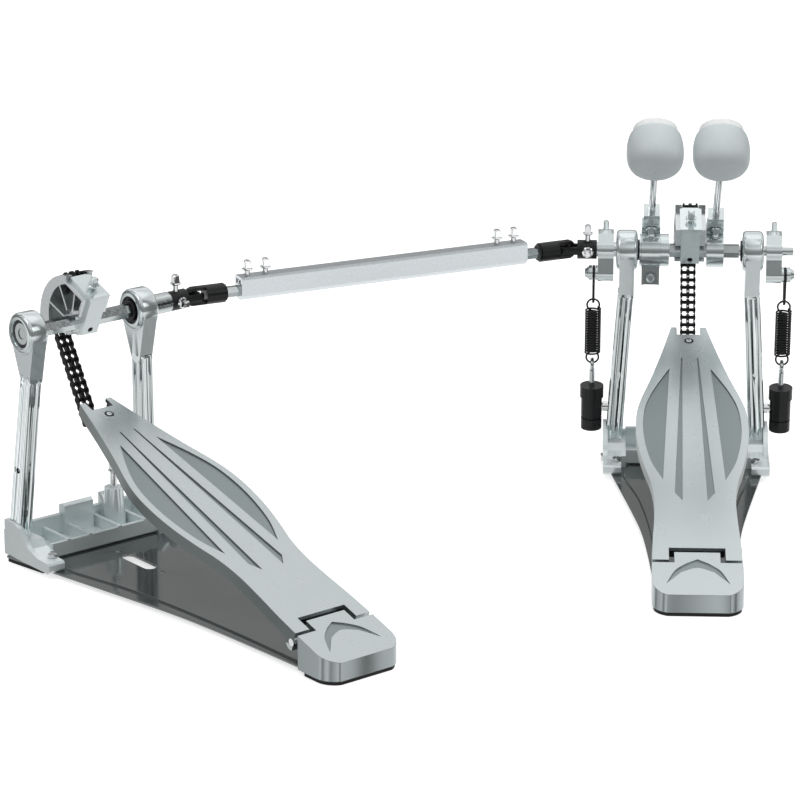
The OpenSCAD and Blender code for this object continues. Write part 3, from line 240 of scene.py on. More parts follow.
CAST = Finish("cast_alloy", (0.80, 0.865, 0.872), metallic=0.70, roughness=0.10,
              rough_spread=0.03, tone_spread=0.05, grain=240.0, bump=0.04)
FRAME_CAST = Finish("frame_alloy", (0.82, 0.885, 0.892), metallic=0.35, roughness=0.14,
                    rough_spread=0.03, tone_spread=0.05, grain=240.0, bump=0.04)
POST_CAST = Finish("post_alloy", (0.83, 0.885, 0.89), metallic=1.0, roughness=0.045,
                   rough_spread=0.025, tone_spread=0.04, grain=160.0, bump=0.04)
CAM_CAST = Finish("cam_alloy", (0.76, 0.79, 0.80), metallic=1.0, roughness=0.26,
                  rough_spread=0.08, tone_spread=0.05, grain=420.0, bump=0.10)
CAM_DEEP = Finish("cam_pocket", (0.30, 0.31, 0.31), metallic=0.9, roughness=0.38,
                  rough_spread=0.1, tone_spread=0.2, grain=300.0, bump=0.3)
BOARD = Finish("board_silver", (0.69, 0.75, 0.757), metallic=0.85, roughness=0.27,
               rough_spread=0.006, tone_spread=0.01, grain=900.0, coat=0.1)
# Darker copy of the board's finish for its upright walls: painted shade, standing in for the dark
# surroundings they would mirror
SHADED_BOARD_SIDE = Finish("board_side", (0.185, 0.215, 0.212), metallic=0.7, roughness=0.36,
                    rough_spread=0.02, tone_spread=0.03, grain=900.0, bump=0.02)
BOARD_DEEP = Finish("board_recess", (0.34, 0.39, 0.395), metallic=0.85, roughness=0.32,
                    rough_spread=0.01, tone_spread=0.015, grain=900.0)
# Darker copy of the board's finish for the heel plate's upright walls: painted shade
SHADED_HEEL_SIDE = Finish("heel_side", (0.42, 0.465, 0.47), metallic=0.85, roughness=0.24,
                   rough_spread=0.01, tone_spread=0.02, grain=900.0)
BASE = Finish("base_gloss", (0.225, 0.24, 0.24), metallic=0.85, roughness=0.10,
              rough_spread=0.03, tone_spread=0.08, grain=300.0, bump=0.02, coat=0.3)
CHROME = Finish("bolt_chrome", (0.86, 0.87, 0.88), metallic=1.0, roughness=0.08,
                rough_spread=0.04, tone_spread=0.03, grain=500.0, bump=0.02)
STEEL = Finish("shaft_steel", (0.66, 0.70, 0.705), metallic=1.0, roughness=0.16,
               rough_spread=0.06, tone_spread=0.06, grain=500.0, bump=0.06,
               pattern=Pattern.BRUSHED)
DARK_STEEL = Finish("bearing_steel", (0.05, 0.05, 0.055), metallic=0.7, roughness=0.3,
                    rough_spread=0.08, tone_spread=0.1, grain=500.0, bump=0.05)
BLACK = Finish("black_steel", (0.014, 0.015, 0.016), metallic=0.3, roughness=0.34,
               rough_spread=0.1, tone_spread=0.2, grain=700.0, bump=0.12)
BLACK_CHAIN = Finish("chain_steel", (0.018, 0.019, 0.020), metallic=0.6, roughness=0.34,
                     rough_spread=0.1, tone_spread=0.2, grain=600.0, bump=0.08)
RUBBER = Finish("foot_rubber", (0.02, 0.02, 0.021), metallic=0.0, roughness=0.75,
                rough_spread=0.08, tone_spread=0.2, grain=900.0, bump=0.3)
TUBE = Finish("tube_satin", (0.78, 0.83, 0.85), metallic=1.0, roughness=0.28,
              rough_spread=0.012, tone_spread=0.01, grain=1400.0,
              pattern=Pattern.BRUSHED, turn=-math.radians(26.913))
HEAD = Finish("head_plastic", (0.62, 0.675, 0.685), metallic=0.0, roughness=0.40,
              rough_spread=0.06, tone_spread=0.04, grain=800.0, bump=0.08)
FELT = Finish("beater_felt", (0.94, 0.95, 0.95), metallic=0.0, roughness=0.95,
              rough_spread=0.04, tone_spread=0.06, grain=2600.0, bump=0.6,
              pattern=Pattern.FELT, sheen=0.3)


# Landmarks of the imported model

SHAFT_Z = 185.0 * MM
SHAFT = Vector((0.0, 0.0, SHAFT_Z))
MAIN_FRAME = Matrix.Identity(4)
SLAVE_FRAME = (Matrix.Translation((-471.6 * MM, -217.0 * MM, 0.0))
               @ Matrix.Rotation(math.radians(41.25), 4, "Z"))
LINK_DIR = Vector((-0.8917, -0.4526, 0.0))
MAIN_JOINT = Vector((-101.0 * MM, 0.0, SHAFT_Z))
SLAVE_JOINT = SLAVE_FRAME @ Vector((104.0 * MM, 0.0, SHAFT_Z))
YOKE_LENGTH = 26.7 * MM
HEEL_HINGE = Vector((0.0, -304.8 * MM, 21.5 * MM))
TOE_SCREW = Vector((0.0, -31.13 * MM, 117.15 * MM))
TREAD_UP = Vector((0.0, -0.2969, 0.9549))
BOARD_FRAME = Matrix.Translation(HEEL_HINGE) @ Matrix.Rotation(math.radians(17.2685), 4, "X")
STRAP_HOLE = Vector((0.0, -7.53 * MM, 179.64 * MM))
STRAP_HOLE_IN = Vector((0.0, 0.8995, 0.4365))
SPRING_X = 78.2 * MM
HOUSING_LOW = 149.0 * MM
PIN_REACH = 4.0 * MM
SCREW_REACH = 3.95 * MM
SCREW_DEPTH = 1.0 * MM
KEYWAY_X = 61.9 * MM
KEYWAY_Y = 5.76 * MM
KEYWAY_HALF = 3.05 * MM
KEYWAY_Z = (30.0 * MM, 70.5 * MM)
BOARD_LOW = 20.0 * MM
HEEL_FRONT = -306.0 * MM
RING_X = 54.0 * MM
RING_REACH = 8.7 * MM
POCKET_X = 2.4 * MM
# How much of a face's normal may lie along an axis
PIN_WALL_X = 0.5
BOARD_WALL_Z = 0.2
HEEL_WALL_Z = 0.6
FLAT_X = 0.99


# Zones: faces of one solid that carry another finish


@dataclass(frozen=True)
class Sunken:
    """Faces that lie parallel to the node's largest upper plane, a little below it."""

    finish: Finish
    low: float = 0.4 * MM
    high: float = 2.4 * MM
    facing_up: float = 0.5
    parallel: float = 0.999
    normal_steps: int = 50
    level_step: float = 0.3 * MM

    def faces(self, part: Mesh, place: Matrix) -> List[Face]:
        """Finds the floors of the recesses.

        Args:
            part: the node's mesh.
            place: the pedal's own frame, which this zone has no use for.

        Returns:
            The faces that carry this finish.
        """
        areas: Dict[Tuple[int, ...], float] = {}
        samples: Dict[Tuple[int, ...], Face] = {}
        for face in part.faces:
            if face.normal.z > self.facing_up:
                level = face.normal.dot(face.verts[0].co)
                key = (*[round(c * self.normal_steps) for c in face.normal],
                       round(level / self.level_step))
                areas[key] = areas.get(key, 0.0) + face.calc_area()
                samples.setdefault(key, face)
        top = samples[max(areas, key=areas.__getitem__)]
        normal = top.normal.copy()
        height = normal.dot(top.verts[0].co)
        return [f for f in part.faces if f.normal.dot(normal) > self.parallel
                and self.low < height - normal.dot(f.calc_center_median()) < self.high]


@dataclass(frozen=True)
class Within:
    """Faces that pass a test of place and direction in the pedal's own frame."""

    finish: Finish
    holds: Callable[[Vector, Vector], bool]

    def faces(self, part: Mesh, place: Matrix) -> List[Face]:
        """Finds the faces that pass the test.

        Args:
            part: the node's mesh.
            place: the pedal's own frame.

        Returns:
            The faces that carry this finish.
        """
        back = place.inverted()
        turn = back.to_3x3()
        return [f for f in part.faces
                if self.holds(back @ f.calc_center_median(), turn @ f.normal)]


Zone = Union[Sunken, Within]


def is_housing(centre: Vector, normal: Vector) -> bool:
    """Tells the round housing and its shoulders at the top of a post."""
    return centre.z > HOUSING_LOW


def is_shaded_hinge_pin(centre: Vector, normal: Vector) -> bool:
    """Tells the long round wall of the heel's hinge pin, painted near black as the shade in the
    gap between heel plate and footboard.
    """
    in_plane = Vector((0.0, centre.y, centre.z))
    return abs(normal.x) < PIN_WALL_X and (in_plane - HEEL_HINGE).length < PIN_REACH


def in_toe_screw_shadow(centre: Vector, normal: Vector) -> bool:
    """Tells the countersink and the screw's flange near a footboard's tip, painted black as the
    shadow round the screw.
    """
    away = centre - TOE_SCREW
    along = away.dot(TREAD_UP)
    return abs(along) < SCREW_DEPTH and (away - along * TREAD_UP).length < SCREW_REACH


def in_keyway(centre: Vector, normal: Vector) -> bool:
    """Tells the walls and floor of the slot in a post's outer side."""
    return (abs(centre.x) > KEYWAY_X and KEYWAY_Z[0] < centre.z < KEYWAY_Z[1]
            and abs(centre.y - KEYWAY_Y) < KEYWAY_HALF)


def is_shaded_board_wall(centre: Vector, normal: Vector) -> bool:
    """Tells the upright walls of a footboard, which carry a darker copy of the board's finish as
    painted shade.
    """
    return abs(normal.z) < BOARD_WALL_Z and centre.z > BOARD_LOW


def is_shaded_heel_wall(centre: Vector, normal: Vector) -> bool:
    """Tells the upright walls of a heel plate, which carry a darker copy of the board's finish as
    painted shade.
    """
    return abs(normal.z) < HEEL_WALL_Z and centre.y < HEEL_FRONT


def near_shaft(centre: Vector, normal: Vector) -> bool:
    """Tells a bearing's inner ring on the pedal's outer sides."""
    away = centre - SHAFT
    return abs(centre.x) > RING_X and math.hypot(away.y, away.z) < RING_REACH


def in_cam_pocket(centre: Vector, normal: Vector) -> bool:
    """Tells the flat floors of the cam's side recesses."""
    return abs(normal.x) > FLAT_X and abs(centre.x) < POCKET_X


def past_main_yoke(centre: Vector, normal: Vector) -> bool:
    """Tells the bare rod beyond the main joint's yoke."""
    return (centre - MAIN_JOINT).dot(LINK_DIR) > YOKE_LENGTH


def past_slave_yoke(centre: Vector, normal: Vector) -> bool:
    """Tells the bare rod beyond the slave joint's yoke."""
    return (SLAVE_JOINT - centre).dot(LINK_DIR) > YOKE_LENGTH


# Meshes


def smooth(shape: Mesh, sharp: float) -> None:
    """Shades a mesh smooth, except at its sharp edges.

    Args:
        shape: the mesh.
        sharp: the angle above which an edge stays sharp.
    """
    for face in shape.faces:
        face.smooth = True
    for edge in shape.edges:
        edge.smooth = not (len(edge.link_faces) == 2 and edge.calc_face_angle(0.0) > sharp)


def show(name: str, shape: Mesh, finishes: Sequence[Finish] = ()) -> bpy.types.Object:
    """Makes a scene object from a bmesh, which it frees.

    Args:
        name: the object's name.
        shape: its mesh.
        finishes: its finishes, in the order of the faces' material index.

    Returns:
        The object.
    """
    mesh = bpy.data.meshes.new(name)
    shape.to_mesh(mesh)
    shape.free()
    piece = bpy.data.objects.new(name, mesh)
    bpy.context.scene.collection.objects.link(piece)
    for finish in finishes:
        mesh.materials.append(finish.build())
    return piece


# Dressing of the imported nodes


@dataclass
class Dressing:
    """How the solids of one CAD node are shown."""

    node: str
    finish: Finish
    small: Optional[Finish] = None
    small_under: float = 21.0 * MM
    bevel: float = 0.25 * MM
    zones: Tuple[Zone, ...] = ()
    place: Matrix = field(default_factory=lambda: MAIN_FRAME)


@dataclass
class Skin:
    """Turns CAD nodes into smooth-shaded pieces with softened edges."""

    frame: Frame
    sharp: float = math.radians(32.0)
    bevel_steps: int = 2

    def dress(self, plans: Sequence[Dressing]) -> None:
        """Shows each node, split where it needs two finishes.

        Args:
            plans: the nodes and their finishes.
        """
        for plan in plans:
            source = self.frame["nodes"][plan.node]
            body = source["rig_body"]
            shell = bmesh.new()
            shell.from_mesh(source.data)
            bmesh.ops.remove_doubles(shell, verts=shell.verts, dist=WELD)
            groups = self._groups(shell, plan)
            for name, finish, faces in groups:
                part = shell
                if len(groups) > 1:
                    part = shell.copy()
                    part.faces.ensure_lookup_table()
                    keep = {f.index for f in faces}
                    rest = [f for f in part.faces if f.index not in keep]
                    bmesh.ops.delete(part, geom=rest, context="FACES")
                piece = self._piece(name, part, finish, plan)
                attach(piece, body)
                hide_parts(plan.node)
            if len(groups) > 1:
                shell.free()
            LOG.info("%s: %d piece(s)", plan.node, len(groups))

    def _groups(self, shell: Mesh, plan: Dressing) -> List[Tuple[str, Finish, List[Face]]]:
        """Sorts the faces of a node's solids into large and small ones.

        Args:
            shell: the node's mesh.
            plan: the node's finishes.

        Returns:
            Name, finish and faces of each group that holds any.
        """
        if plan.small is None:
            return [(plan.node + "_skin", plan.finish, list(shell.faces))]
        shell.faces.index_update()
        large: List[Face] = []
        small: List[Face] = []
        for island in self._islands(shell):
            points = [v.co for f in island for v in f.verts]
            span = Vector([max(p[i] for p in points) - min(p[i] for p in points)
                           for i in range(3)])
            (small if span.length < plan.small_under else large).extend(island)
        groups = [(plan.node + "_skin", plan.finish, large),
                  (plan.node + "_bolts", plan.small, small)]
        return [g for g in groups if g[2]]

    def _islands(self, shell: Mesh) -> List[List[Face]]:
        """Finds the faces of each connected solid.

        Args:
            shell: the mesh.

        Returns:
            One list of faces per solid.
        """
        seen, islands = set(), []
        for start in shell.faces:
            if start in seen:
                continue
            seen.add(start)
            queue, island = [start], []
            while queue:
                face = queue.pop()
                island.append(face)
                for other in (f for edge in face.edges for f in edge.link_faces):
                    if other not in seen:
                        seen.add(other)
                        queue.append(other)
            islands.append(island)
        return islands

    def _piece(self, name: str, part: Mesh, finish: Finish,
               plan: Dressing) -> bpy.types.Object:
        """Makes a shown object with its zones and softened edges.

        Args:
            name: the object's name.
            part: its mesh.
            finish: its main finish.
            plan: the node's zones and bevel.

        Returns:
            The object.
        """
        smooth(part, self.sharp)
        for index, zone in enumerate(plan.zones, start=1):
            for face in zone.faces(part, plan.place):
                face.material_index = index
        piece = show(name, part, [finish, *[zone.finish for zone in plan.zones]])
        if plan.bevel > 0:
            soften = piece.modifiers.new("edges", "BEVEL")
            soften.width = plan.bevel
            soften.segments = self.bevel_steps
            soften.limit_method = "ANGLE"
            soften.angle_limit = self.sharp
            soften.use_clamp_overlap = True
            soften.harden_normals = True
        return piece


# Fine pieces


@dataclass
class Turned:
    """A small solid of revolution that rides with a CAD node."""

    name: str
    carrier: str
    finish: Finish
    outline: Sequence[Tuple[float, float]]
    foot: Vector
    axis: Vector
    place: Matrix
    sides: int = 40
    sharp: float = math.radians(50.0)

    def build(self, frame: Frame) -> None:
        """Turns the outline, given in millimetres as radius and height, about its axis.

        Args:
            frame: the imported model.
        """
        shape = bmesh.new()
        corners = [shape.verts.new((r * MM, 0.0, h * MM)) for r, h in self.outline]
        edges = [shape.edges.new(pair) for pair in zip(corners, corners[1:])]
        bmesh.ops.spin(shape, geom=corners + edges, cent=(0.0, 0.0, 0.0), axis=Z_AXIS,
                       angle=2 * math.pi, steps=self.sides)
        bmesh.ops.remove_doubles(shape, verts=shape.verts, dist=WELD)
        bmesh.ops.recalc_face_normals(shape, faces=shape.faces)
        smooth(shape, self.sharp)
        aim = Z_AXIS.rotation_difference(self.axis).to_matrix().to_4x4()
        bmesh.ops.transform(shape, verts=shape.verts,
                            matrix=self.place @ Matrix.Translation(self.foot) @ aim)
        piece = show(self.name, shape, [self.finish])
        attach(piece, frame["nodes"][self.carrier]["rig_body"])
        LOG.info("%s turned", self.name)


@dataclass
class ShadeBlock:
    """A plain dark rectangular block that rides with a CAD node and paints shade where no part
    stands.
    """

    name: str
    carrier: str
    finish: Finish
    low: Point
    high: Point
    place: Matrix

    def build(self, frame: Frame) -> None:
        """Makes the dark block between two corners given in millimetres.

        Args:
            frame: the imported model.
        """
        shape = bmesh.new()
        size = [(b - a) * MM for a, b in zip(self.low, self.high)]
        middle = Vector([(a + b) * MM / 2 for a, b in zip(self.low, self.high)])
        stand = self.place @ Matrix.Translation(middle) @ Matrix.Diagonal((*size, 1.0))
        bmesh.ops.create_cube(shape, size=1.0, matrix=stand)
        piece = show(self.name, shape, [self.finish])
        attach(piece, frame["nodes"][self.carrier]["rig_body"])
        LOG.info("%s made", self.name)


# Springs


@dataclass
class CoilSpring:
    """A pull spring with a round hook at each end, wound from one wire."""

    side: str
    centre_x: float
    anchor: Tuple[float, float] = (5.7557 * MM, 48.0 * MM)
    tilt: float = math.radians(5.1404)
    wire: float = 1.6 * MM
    outer: float = 13.5 * MM
    curls: int = 18
    length: float = 41.0 * MM
    eye_u: float = 37.5 * MM
    eye_hole: float = 2.7 * MM
    eye_play: float = 0.2 * MM
    hook_inset: float = 0.9 * MM
    neck: float = 1.7  # Height of a hook from its far side to the coil, in hook radii
    hook_end: float = 35.0  # Degrees from X where a hook meets the coil's wire
    hook_tip: float = 110.0  # Degrees from X where its free end stops
    hook_step: float = 9.0
    coil_turn: float = math.radians(45.0)
    overlap: float = 0.3 * MM
    sides: int = 12
    steps: int = 28

    def build(self) -> None:
        """Winds the spring in place and hides the imported one."""
        coil_r = (self.outer - self.wire) / 2
        hook_r = coil_r - self.hook_inset
        low = self.eye_u + self.eye_hole - self.wire / 2 - self.eye_play
        start = low + hook_r * self.neck
        pitch = (self.length - self.wire) / self.curls
        top = start + self.length - self.wire + hook_r * self.neck
        low_hook = Vector((0.0, 0.0, low + hook_r))
        top_hook = Vector((0.0, 0.0, top - hook_r))
        shape = bmesh.new()
        self._arc(shape, low_hook, hook_r, self.hook_tip, 360.0 + self.hook_end)
        self._arc(shape, top_hook, hook_r, -self.hook_end, 360.0 - self.hook_tip)
        self._coil(shape, coil_r, start, pitch)
        self._bridge(shape, self._hook_point(low_hook, hook_r, self.hook_end),
                     self._coil_point(coil_r, start))
        self._bridge(shape, self._coil_point(coil_r, start + pitch * self.curls),
                     self._hook_point(top_hook, hook_r, -self.hook_end))
        bmesh.ops.recalc_face_normals(shape, faces=shape.faces)
        place = (Matrix.Translation((self.centre_x, *self.anchor))
                 @ Matrix.Rotation(self.tilt, 4, "X"))
        bmesh.ops.transform(shape, matrix=place, verts=shape.verts)
        smooth(shape, math.pi)
        piece = show("spring_wire_" + self.side, shape, [BLACK])
        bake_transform(piece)
        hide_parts("spring_" + self.side)
        LOG.info("spring_%s wound", self.side)

    def _hook_point(self, centre: Vector, radius: float, degrees: float) -> Vector:
        """Returns a point of a hook's line in the XZ plane."""
        a = math.radians(degrees)
        return centre + radius * Vector((math.cos(a), 0.0, math.sin(a)))

    def _coil_point(self, radius: float, height: float) -> Vector:
        """Returns the point of the coil's line where a curl starts."""
        a = self.coil_turn
        return Vector((radius * math.cos(a), radius * math.sin(a), height))

    def _ring(self, shape: Mesh, centre: Vector, along: Vector) -> List[bmesh.types.BMVert]:
        """Adds the wire's round section at a point of its path.

        Args:
            shape: the spring's mesh.
            centre: the point.
            along: the wire's direction there.

        Returns:
            The section's vertices.
        """
        turn = Z_AXIS.rotation_difference(along.normalized()).to_matrix().to_4x4()
        made = bmesh.ops.create_circle(shape, cap_ends=False, radius=self.wire / 2,
                                       segments=self.sides,
                                       matrix=Matrix.Translation(centre) @ turn)
        return made["verts"]

    def _sweep(self, shape: Mesh, ring: List[bmesh.types.BMVert], centre: Vector,
               axis: Vector, angle: float, steps: int, rise: float) -> None:
        """Spins a section about an axis while it climbs, and caps both ends.

        Args:
            shape: the spring's mesh.
            ring: the section's vertices.
            centre: a point of the axis.
            axis: the axis.
            angle: the whole turn.
            steps: number of steps.
            rise: climb along Z at each step.
        """
        edges = list({e for v in ring for e in v.link_edges})
        cap = bmesh.ops.contextual_create(shape, geom=edges)["faces"]
        bmesh.ops.spin(shape, geom=cap, cent=centre, axis=axis, dvec=rise * Z_AXIS,
                       angle=angle, steps=steps, use_duplicate=False)

    def _arc(self, shape: Mesh, centre: Vector, radius: float, first: float,
             last: float) -> None:
        """Sweeps the wire round a hook in the XZ plane.

        Args:
            shape: the spring's mesh.
            centre: the hook's centre.
            radius: radius of the wire's line.
            first: where it starts, in degrees from X.
            last: where it ends, in degrees from X.
        """
        a = math.radians(first)
        along = Vector((-math.sin(a), 0.0, math.cos(a)))
        ring = self._ring(shape, self._hook_point(centre, radius, first), along)
        self._sweep(shape, ring, centre, Vector((0.0, -1.0, 0.0)),
                    math.radians(last - first), int((last - first) / self.hook_step), 0.0)

    def _coil(self, shape: Mesh, radius: float, start: float, pitch: float) -> None:
        """Sweeps the wire round the coil.

        Args:
            shape: the spring's mesh.
            radius: radius of the wire's line.
            start: height of the first curl.
            pitch: climb of each curl.
        """
        a = self.coil_turn
        along = Vector((-math.sin(a), math.cos(a), 0.0))
        ring = self._ring(shape, self._coil_point(radius, start), along)
        self._sweep(shape, ring, Vector(), Z_AXIS, 2 * math.pi * self.curls,
                    self.curls * self.steps, pitch / self.steps)

    def _bridge(self, shape: Mesh, a: Vector, b: Vector) -> None:
        """Joins a hook's end and the coil's end with a short straight of wire.

        Args:
            shape: the spring's mesh.
            a: one end.
            b: the other end.
        """
        step = (b - a).normalized() * self.overlap
        first = self._ring(shape, a - step, b - a)
        second = self._ring(shape, b + step, b - a)
        edges = list({e for v in first + second for e in v.link_edges})
        bmesh.ops.bridge_loops(shape, edges=edges)
        bmesh.ops.holes_fill(shape, edges=edges, sides=self.sides)


# Studio

# Grey of the room from its floor to its ceiling, place from 0 to 1
ROOM_HEIGHT: Stops = (
    (0.0, 0.75), (0.10, 0.62), (0.20, 0.55), (0.28, 0.62), (0.345, 0.80), (0.41, 0.85),
    (0.44, 0.40), (0.47, 0.08), (0.60, 0.10), (0.655, 0.21), (0.70, 0.32), (0.75, 0.62),
    (0.82, 0.47), (0.88, 0.45), (0.93, 0.70), (1.0, 0.72))
# Grey of the room's walls once around
ROOM_AROUND: Stops = (
    (0.0, 0.55), (0.05, 1.0), (0.085, 0.10), (0.12, 0.85), (0.16, 1.0), (0.195, 0.35),
    (0.23, 0.55), (0.27, 0.75), (0.31, 1.0), (0.345, 0.12), (0.38, 0.95), (0.43, 0.75),
    (0.465, 0.05), (0.51, 0.8), (0.60, 0.95), (0.70, 0.92), (0.77, 0.92), (0.84, 0.95),
    (0.90, 0.85), (0.935, 0.05), (0.97, 0.7))


@dataclass(frozen=True)
class SoftLight:
    """One soft square light that faces a target."""

    name: str
    place: Point
    target: Point
    size: float
    power: float
    mirrored: bool = True

    def build(self) -> None:
        """Adds the light to the scene."""
        data = bpy.data.lights.new(self.name, "AREA")
        data.size = self.size
        data.energy = self.power
        light = bpy.data.objects.new(self.name, data)
        light.location = self.place
        aim = Vector(self.target) - Vector(self.place)
        light.rotation_euler = aim.to_track_quat("-Z", "Y").to_euler()
        bpy.context.scene.collection.objects.link(light)
        light.visible_glossy = self.mirrored


@dataclass
class Studio:
    """Pale floor, soft light and the camera of the photograph's viewpoint."""

    camera_place: Point = (-0.111762, -2.990926, 1.028391)
    camera_yaw: float = 0.042
    camera_pitch: float = -0.315
    lens: float = 170.235
    sensor: float = 36.0
    clip: Tuple[float, float] = (0.05, 50.0)
    room: float = 1.6
    floor_half: float = 6.0
    floor_grey: float = 0.8
    floor_roughness: float = 0.7
    floor_glow: float = 0.62
    lights: Tuple[SoftLight, ...] = (
        SoftLight("key_light", (-1.6, -1.2, 2.2), (-0.2, -0.1, 0.1), 1.2, 5.0),
        SoftLight("fill_light", (1.9, -1.3, 1.5), (-0.1, -0.1, 0.1), 1.0, 3.0),
        SoftLight("top_light", (0.2, -0.5, 2.7), (0.1, 0.0, 0.3), 1.0, 25.0, mirrored=False))

    def build(self) -> None:
        """Makes the camera, the room, the floor and the lights."""
        bpy.context.scene.view_settings.view_transform = "Standard"
        self._camera()
        self._world()
        self._floor()
        for light in self.lights:
            light.build()
        LOG.info("studio ready")

    def _camera(self) -> None:
        """Places the camera."""
        data = bpy.data.cameras.new("view")
        data.lens = self.lens
        data.sensor_width = self.sensor
        data.clip_start, data.clip_end = self.clip
        camera = bpy.data.objects.new("view", data)
        camera.location = self.camera_place
        camera.rotation_euler = (math.pi / 2 + self.camera_pitch, 0.0, self.camera_yaw)
        bpy.context.scene.collection.objects.link(camera)
        bpy.context.scene.camera = camera

    def _world(self) -> None:
        """Lights the scene from a white room whose darker bands give the metal contrast."""
        world = bpy.data.worlds.new("room")
        world.use_nodes = True
        tree = world.node_tree
        back = tree.nodes["Background"]
        place = tree.nodes.new("ShaderNodeTexCoord")
        split = tree.nodes.new("ShaderNodeSeparateXYZ")
        tree.links.new(place.outputs["Generated"], split.inputs["Vector"])
        height = self._bands(tree, split.outputs["Z"], ROOM_HEIGHT)
        turn = tree.nodes.new("ShaderNodeMath")
        turn.operation = "ARCTAN2"
        tree.links.new(split.outputs["Y"], turn.inputs[0])
        tree.links.new(split.outputs["X"], turn.inputs[1])
        share = tree.nodes.new("ShaderNodeMath")
        share.operation = "DIVIDE"
        share.inputs[1].default_value = math.pi
        tree.links.new(turn.outputs[0], share.inputs[0])
        around = self._bands(tree, share.outputs[0], ROOM_AROUND)
        mix = tree.nodes.new("ShaderNodeMix")
        mix.data_type = "RGBA"
        mix.blend_type = "MULTIPLY"
        mix.inputs["Factor"].default_value = 1.0
        # Sockets 6 and 7 take the two colours, and output 2 gives their product
        tree.links.new(height, mix.inputs[6])
        tree.links.new(around, mix.inputs[7])
        tree.links.new(mix.outputs[2], back.inputs["Color"])
        back.inputs["Strength"].default_value = self.room
        bpy.context.scene.world = world

    def _bands(self, tree: bpy.types.NodeTree, value: bpy.types.NodeSocket,
               stops: Stops) -> bpy.types.NodeSocket:
        """Turns a value from -1 to 1 into bands of grey.

        Args:
            tree: the world's node tree.
            value: the socket that gives the value.
            stops: place from 0 to 1 and brightness of each stop.

        Returns:
            The socket with the band's colour.
        """
        half = tree.nodes.new("ShaderNodeMath")
        half.operation = "MULTIPLY_ADD"
        half.inputs[1].default_value = 0.5
        half.inputs[2].default_value = 0.5
        tree.links.new(value, half.inputs[0])
        ramp = tree.nodes.new("ShaderNodeValToRGB")
        ramp.color_ramp.interpolation = "EASE"
        first, last = ramp.color_ramp.elements[0], ramp.color_ramp.elements[1]
        first.position, first.color = stops[0][0], (stops[0][1],) * 3 + (1.0,)
        last.position, last.color = stops[-1][0], (stops[-1][1],) * 3 + (1.0,)
        for where, tone in stops[1:-1]:
            ramp.color_ramp.elements.new(where).color = (tone, tone, tone, 1.0)
        tree.links.new(half.outputs[0], ramp.inputs["Fac"])
        return ramp.outputs["Color"]

    def _floor(self) -> None:
        """Lays a wide, flat, pale floor that glows a little."""
        shape = bmesh.new()
        bmesh.ops.create_grid(shape, x_segments=1, y_segments=1, size=self.floor_half)
        floor = show("floor", shape)
        material = bpy.data.materials.new("floor_white")
        material.use_nodes = True
        shader = material.node_tree.nodes["Principled BSDF"]
        shader.inputs["Base Color"].default_value = (*[self.floor_grey] * 3, 1.0)
        shader.inputs["Roughness"].default_value = self.floor_roughness
        shader.inputs["Emission Color"].default_value = (1.0, 1.0, 1.0, 1.0)
        shader.inputs["Emission Strength"].default_value = self.floor_glow
        floor.data.materials.append(material)
        # The metal mirrors the room below the horizon, not this sheet
        floor.visible_glossy = False
        floor.visible_diffuse = False


# The pedal


@dataclass
class DriveShaft:
    """The telescopic drive shaft, its two universal joints and its key bolts."""

    skin: Skin
    key_bolt: float = 30.0 * MM

    def build(self) -> None:
        """Dresses the rods, the tube, the crosses and the yokes."""
        self.skin.dress([
            Dressing("link_rod_main", BLACK, zones=(Within(STEEL, past_main_yoke),)),
            Dressing("link_rod_slave", BLACK, zones=(Within(STEEL, past_slave_yoke),)),
            Dressing("joint_cross_main", BLACK),
            Dressing("joint_cross_slave", BLACK),
            Dressing("link_tube", TUBE, CHROME, self.key_bolt),
            Dressing("drive_yoke", BLACK, CHROME),
            Dressing("slave_yoke", BLACK, CHROME),
        ])


@dataclass
class ShaftsAndClamps:
    """The rocker shafts, the hoop clamp and the second pedal's anchor bolt."""

    skin: Skin

    def build(self) -> None:
        """Dresses the shafts, the jaw and the two bolts."""
        self.skin.dress([
            Dressing("hex_shaft", STEEL),
            Dressing("sleeve_shaft", CAST),
            Dressing("slave_shaft", STEEL),
            Dressing("hoop_jaw", CAST),
            Dressing("hoop_clamp_bolt", CHROME),
            Dressing("anchor_bolt", CHROME),
        ])


@dataclass
class BeaterSide:
    """The beater and the spring set on one side of the main pedal."""

    skin: Skin
    side: str
    spring_x: float

    def build(self) -> None:
        """Dresses the holder, the beater and the spring's fittings, and winds the spring."""
        self.skin.dress([
            Dressing("beater_holder_" + self.side, CAST, CHROME),
            Dressing("spring_lever_" + self.side, CAST, CHROME),
            Dressing("beater_rod_" + self.side, CHROME),
            Dressing("beater_head_" + self.side, HEAD, bevel=0.0),
            Dressing("beater_felt_" + self.side, FELT, bevel=0.0),
            Dressing("stirrup_" + self.side, BLACK),
            Dressing("eye_bolt_" + self.side, STEEL, bevel=0.0),
            Dressing("spring_adjuster_" + self.side, BLACK),
        ])
        CoilSpring(self.side, self.spring_x).build()


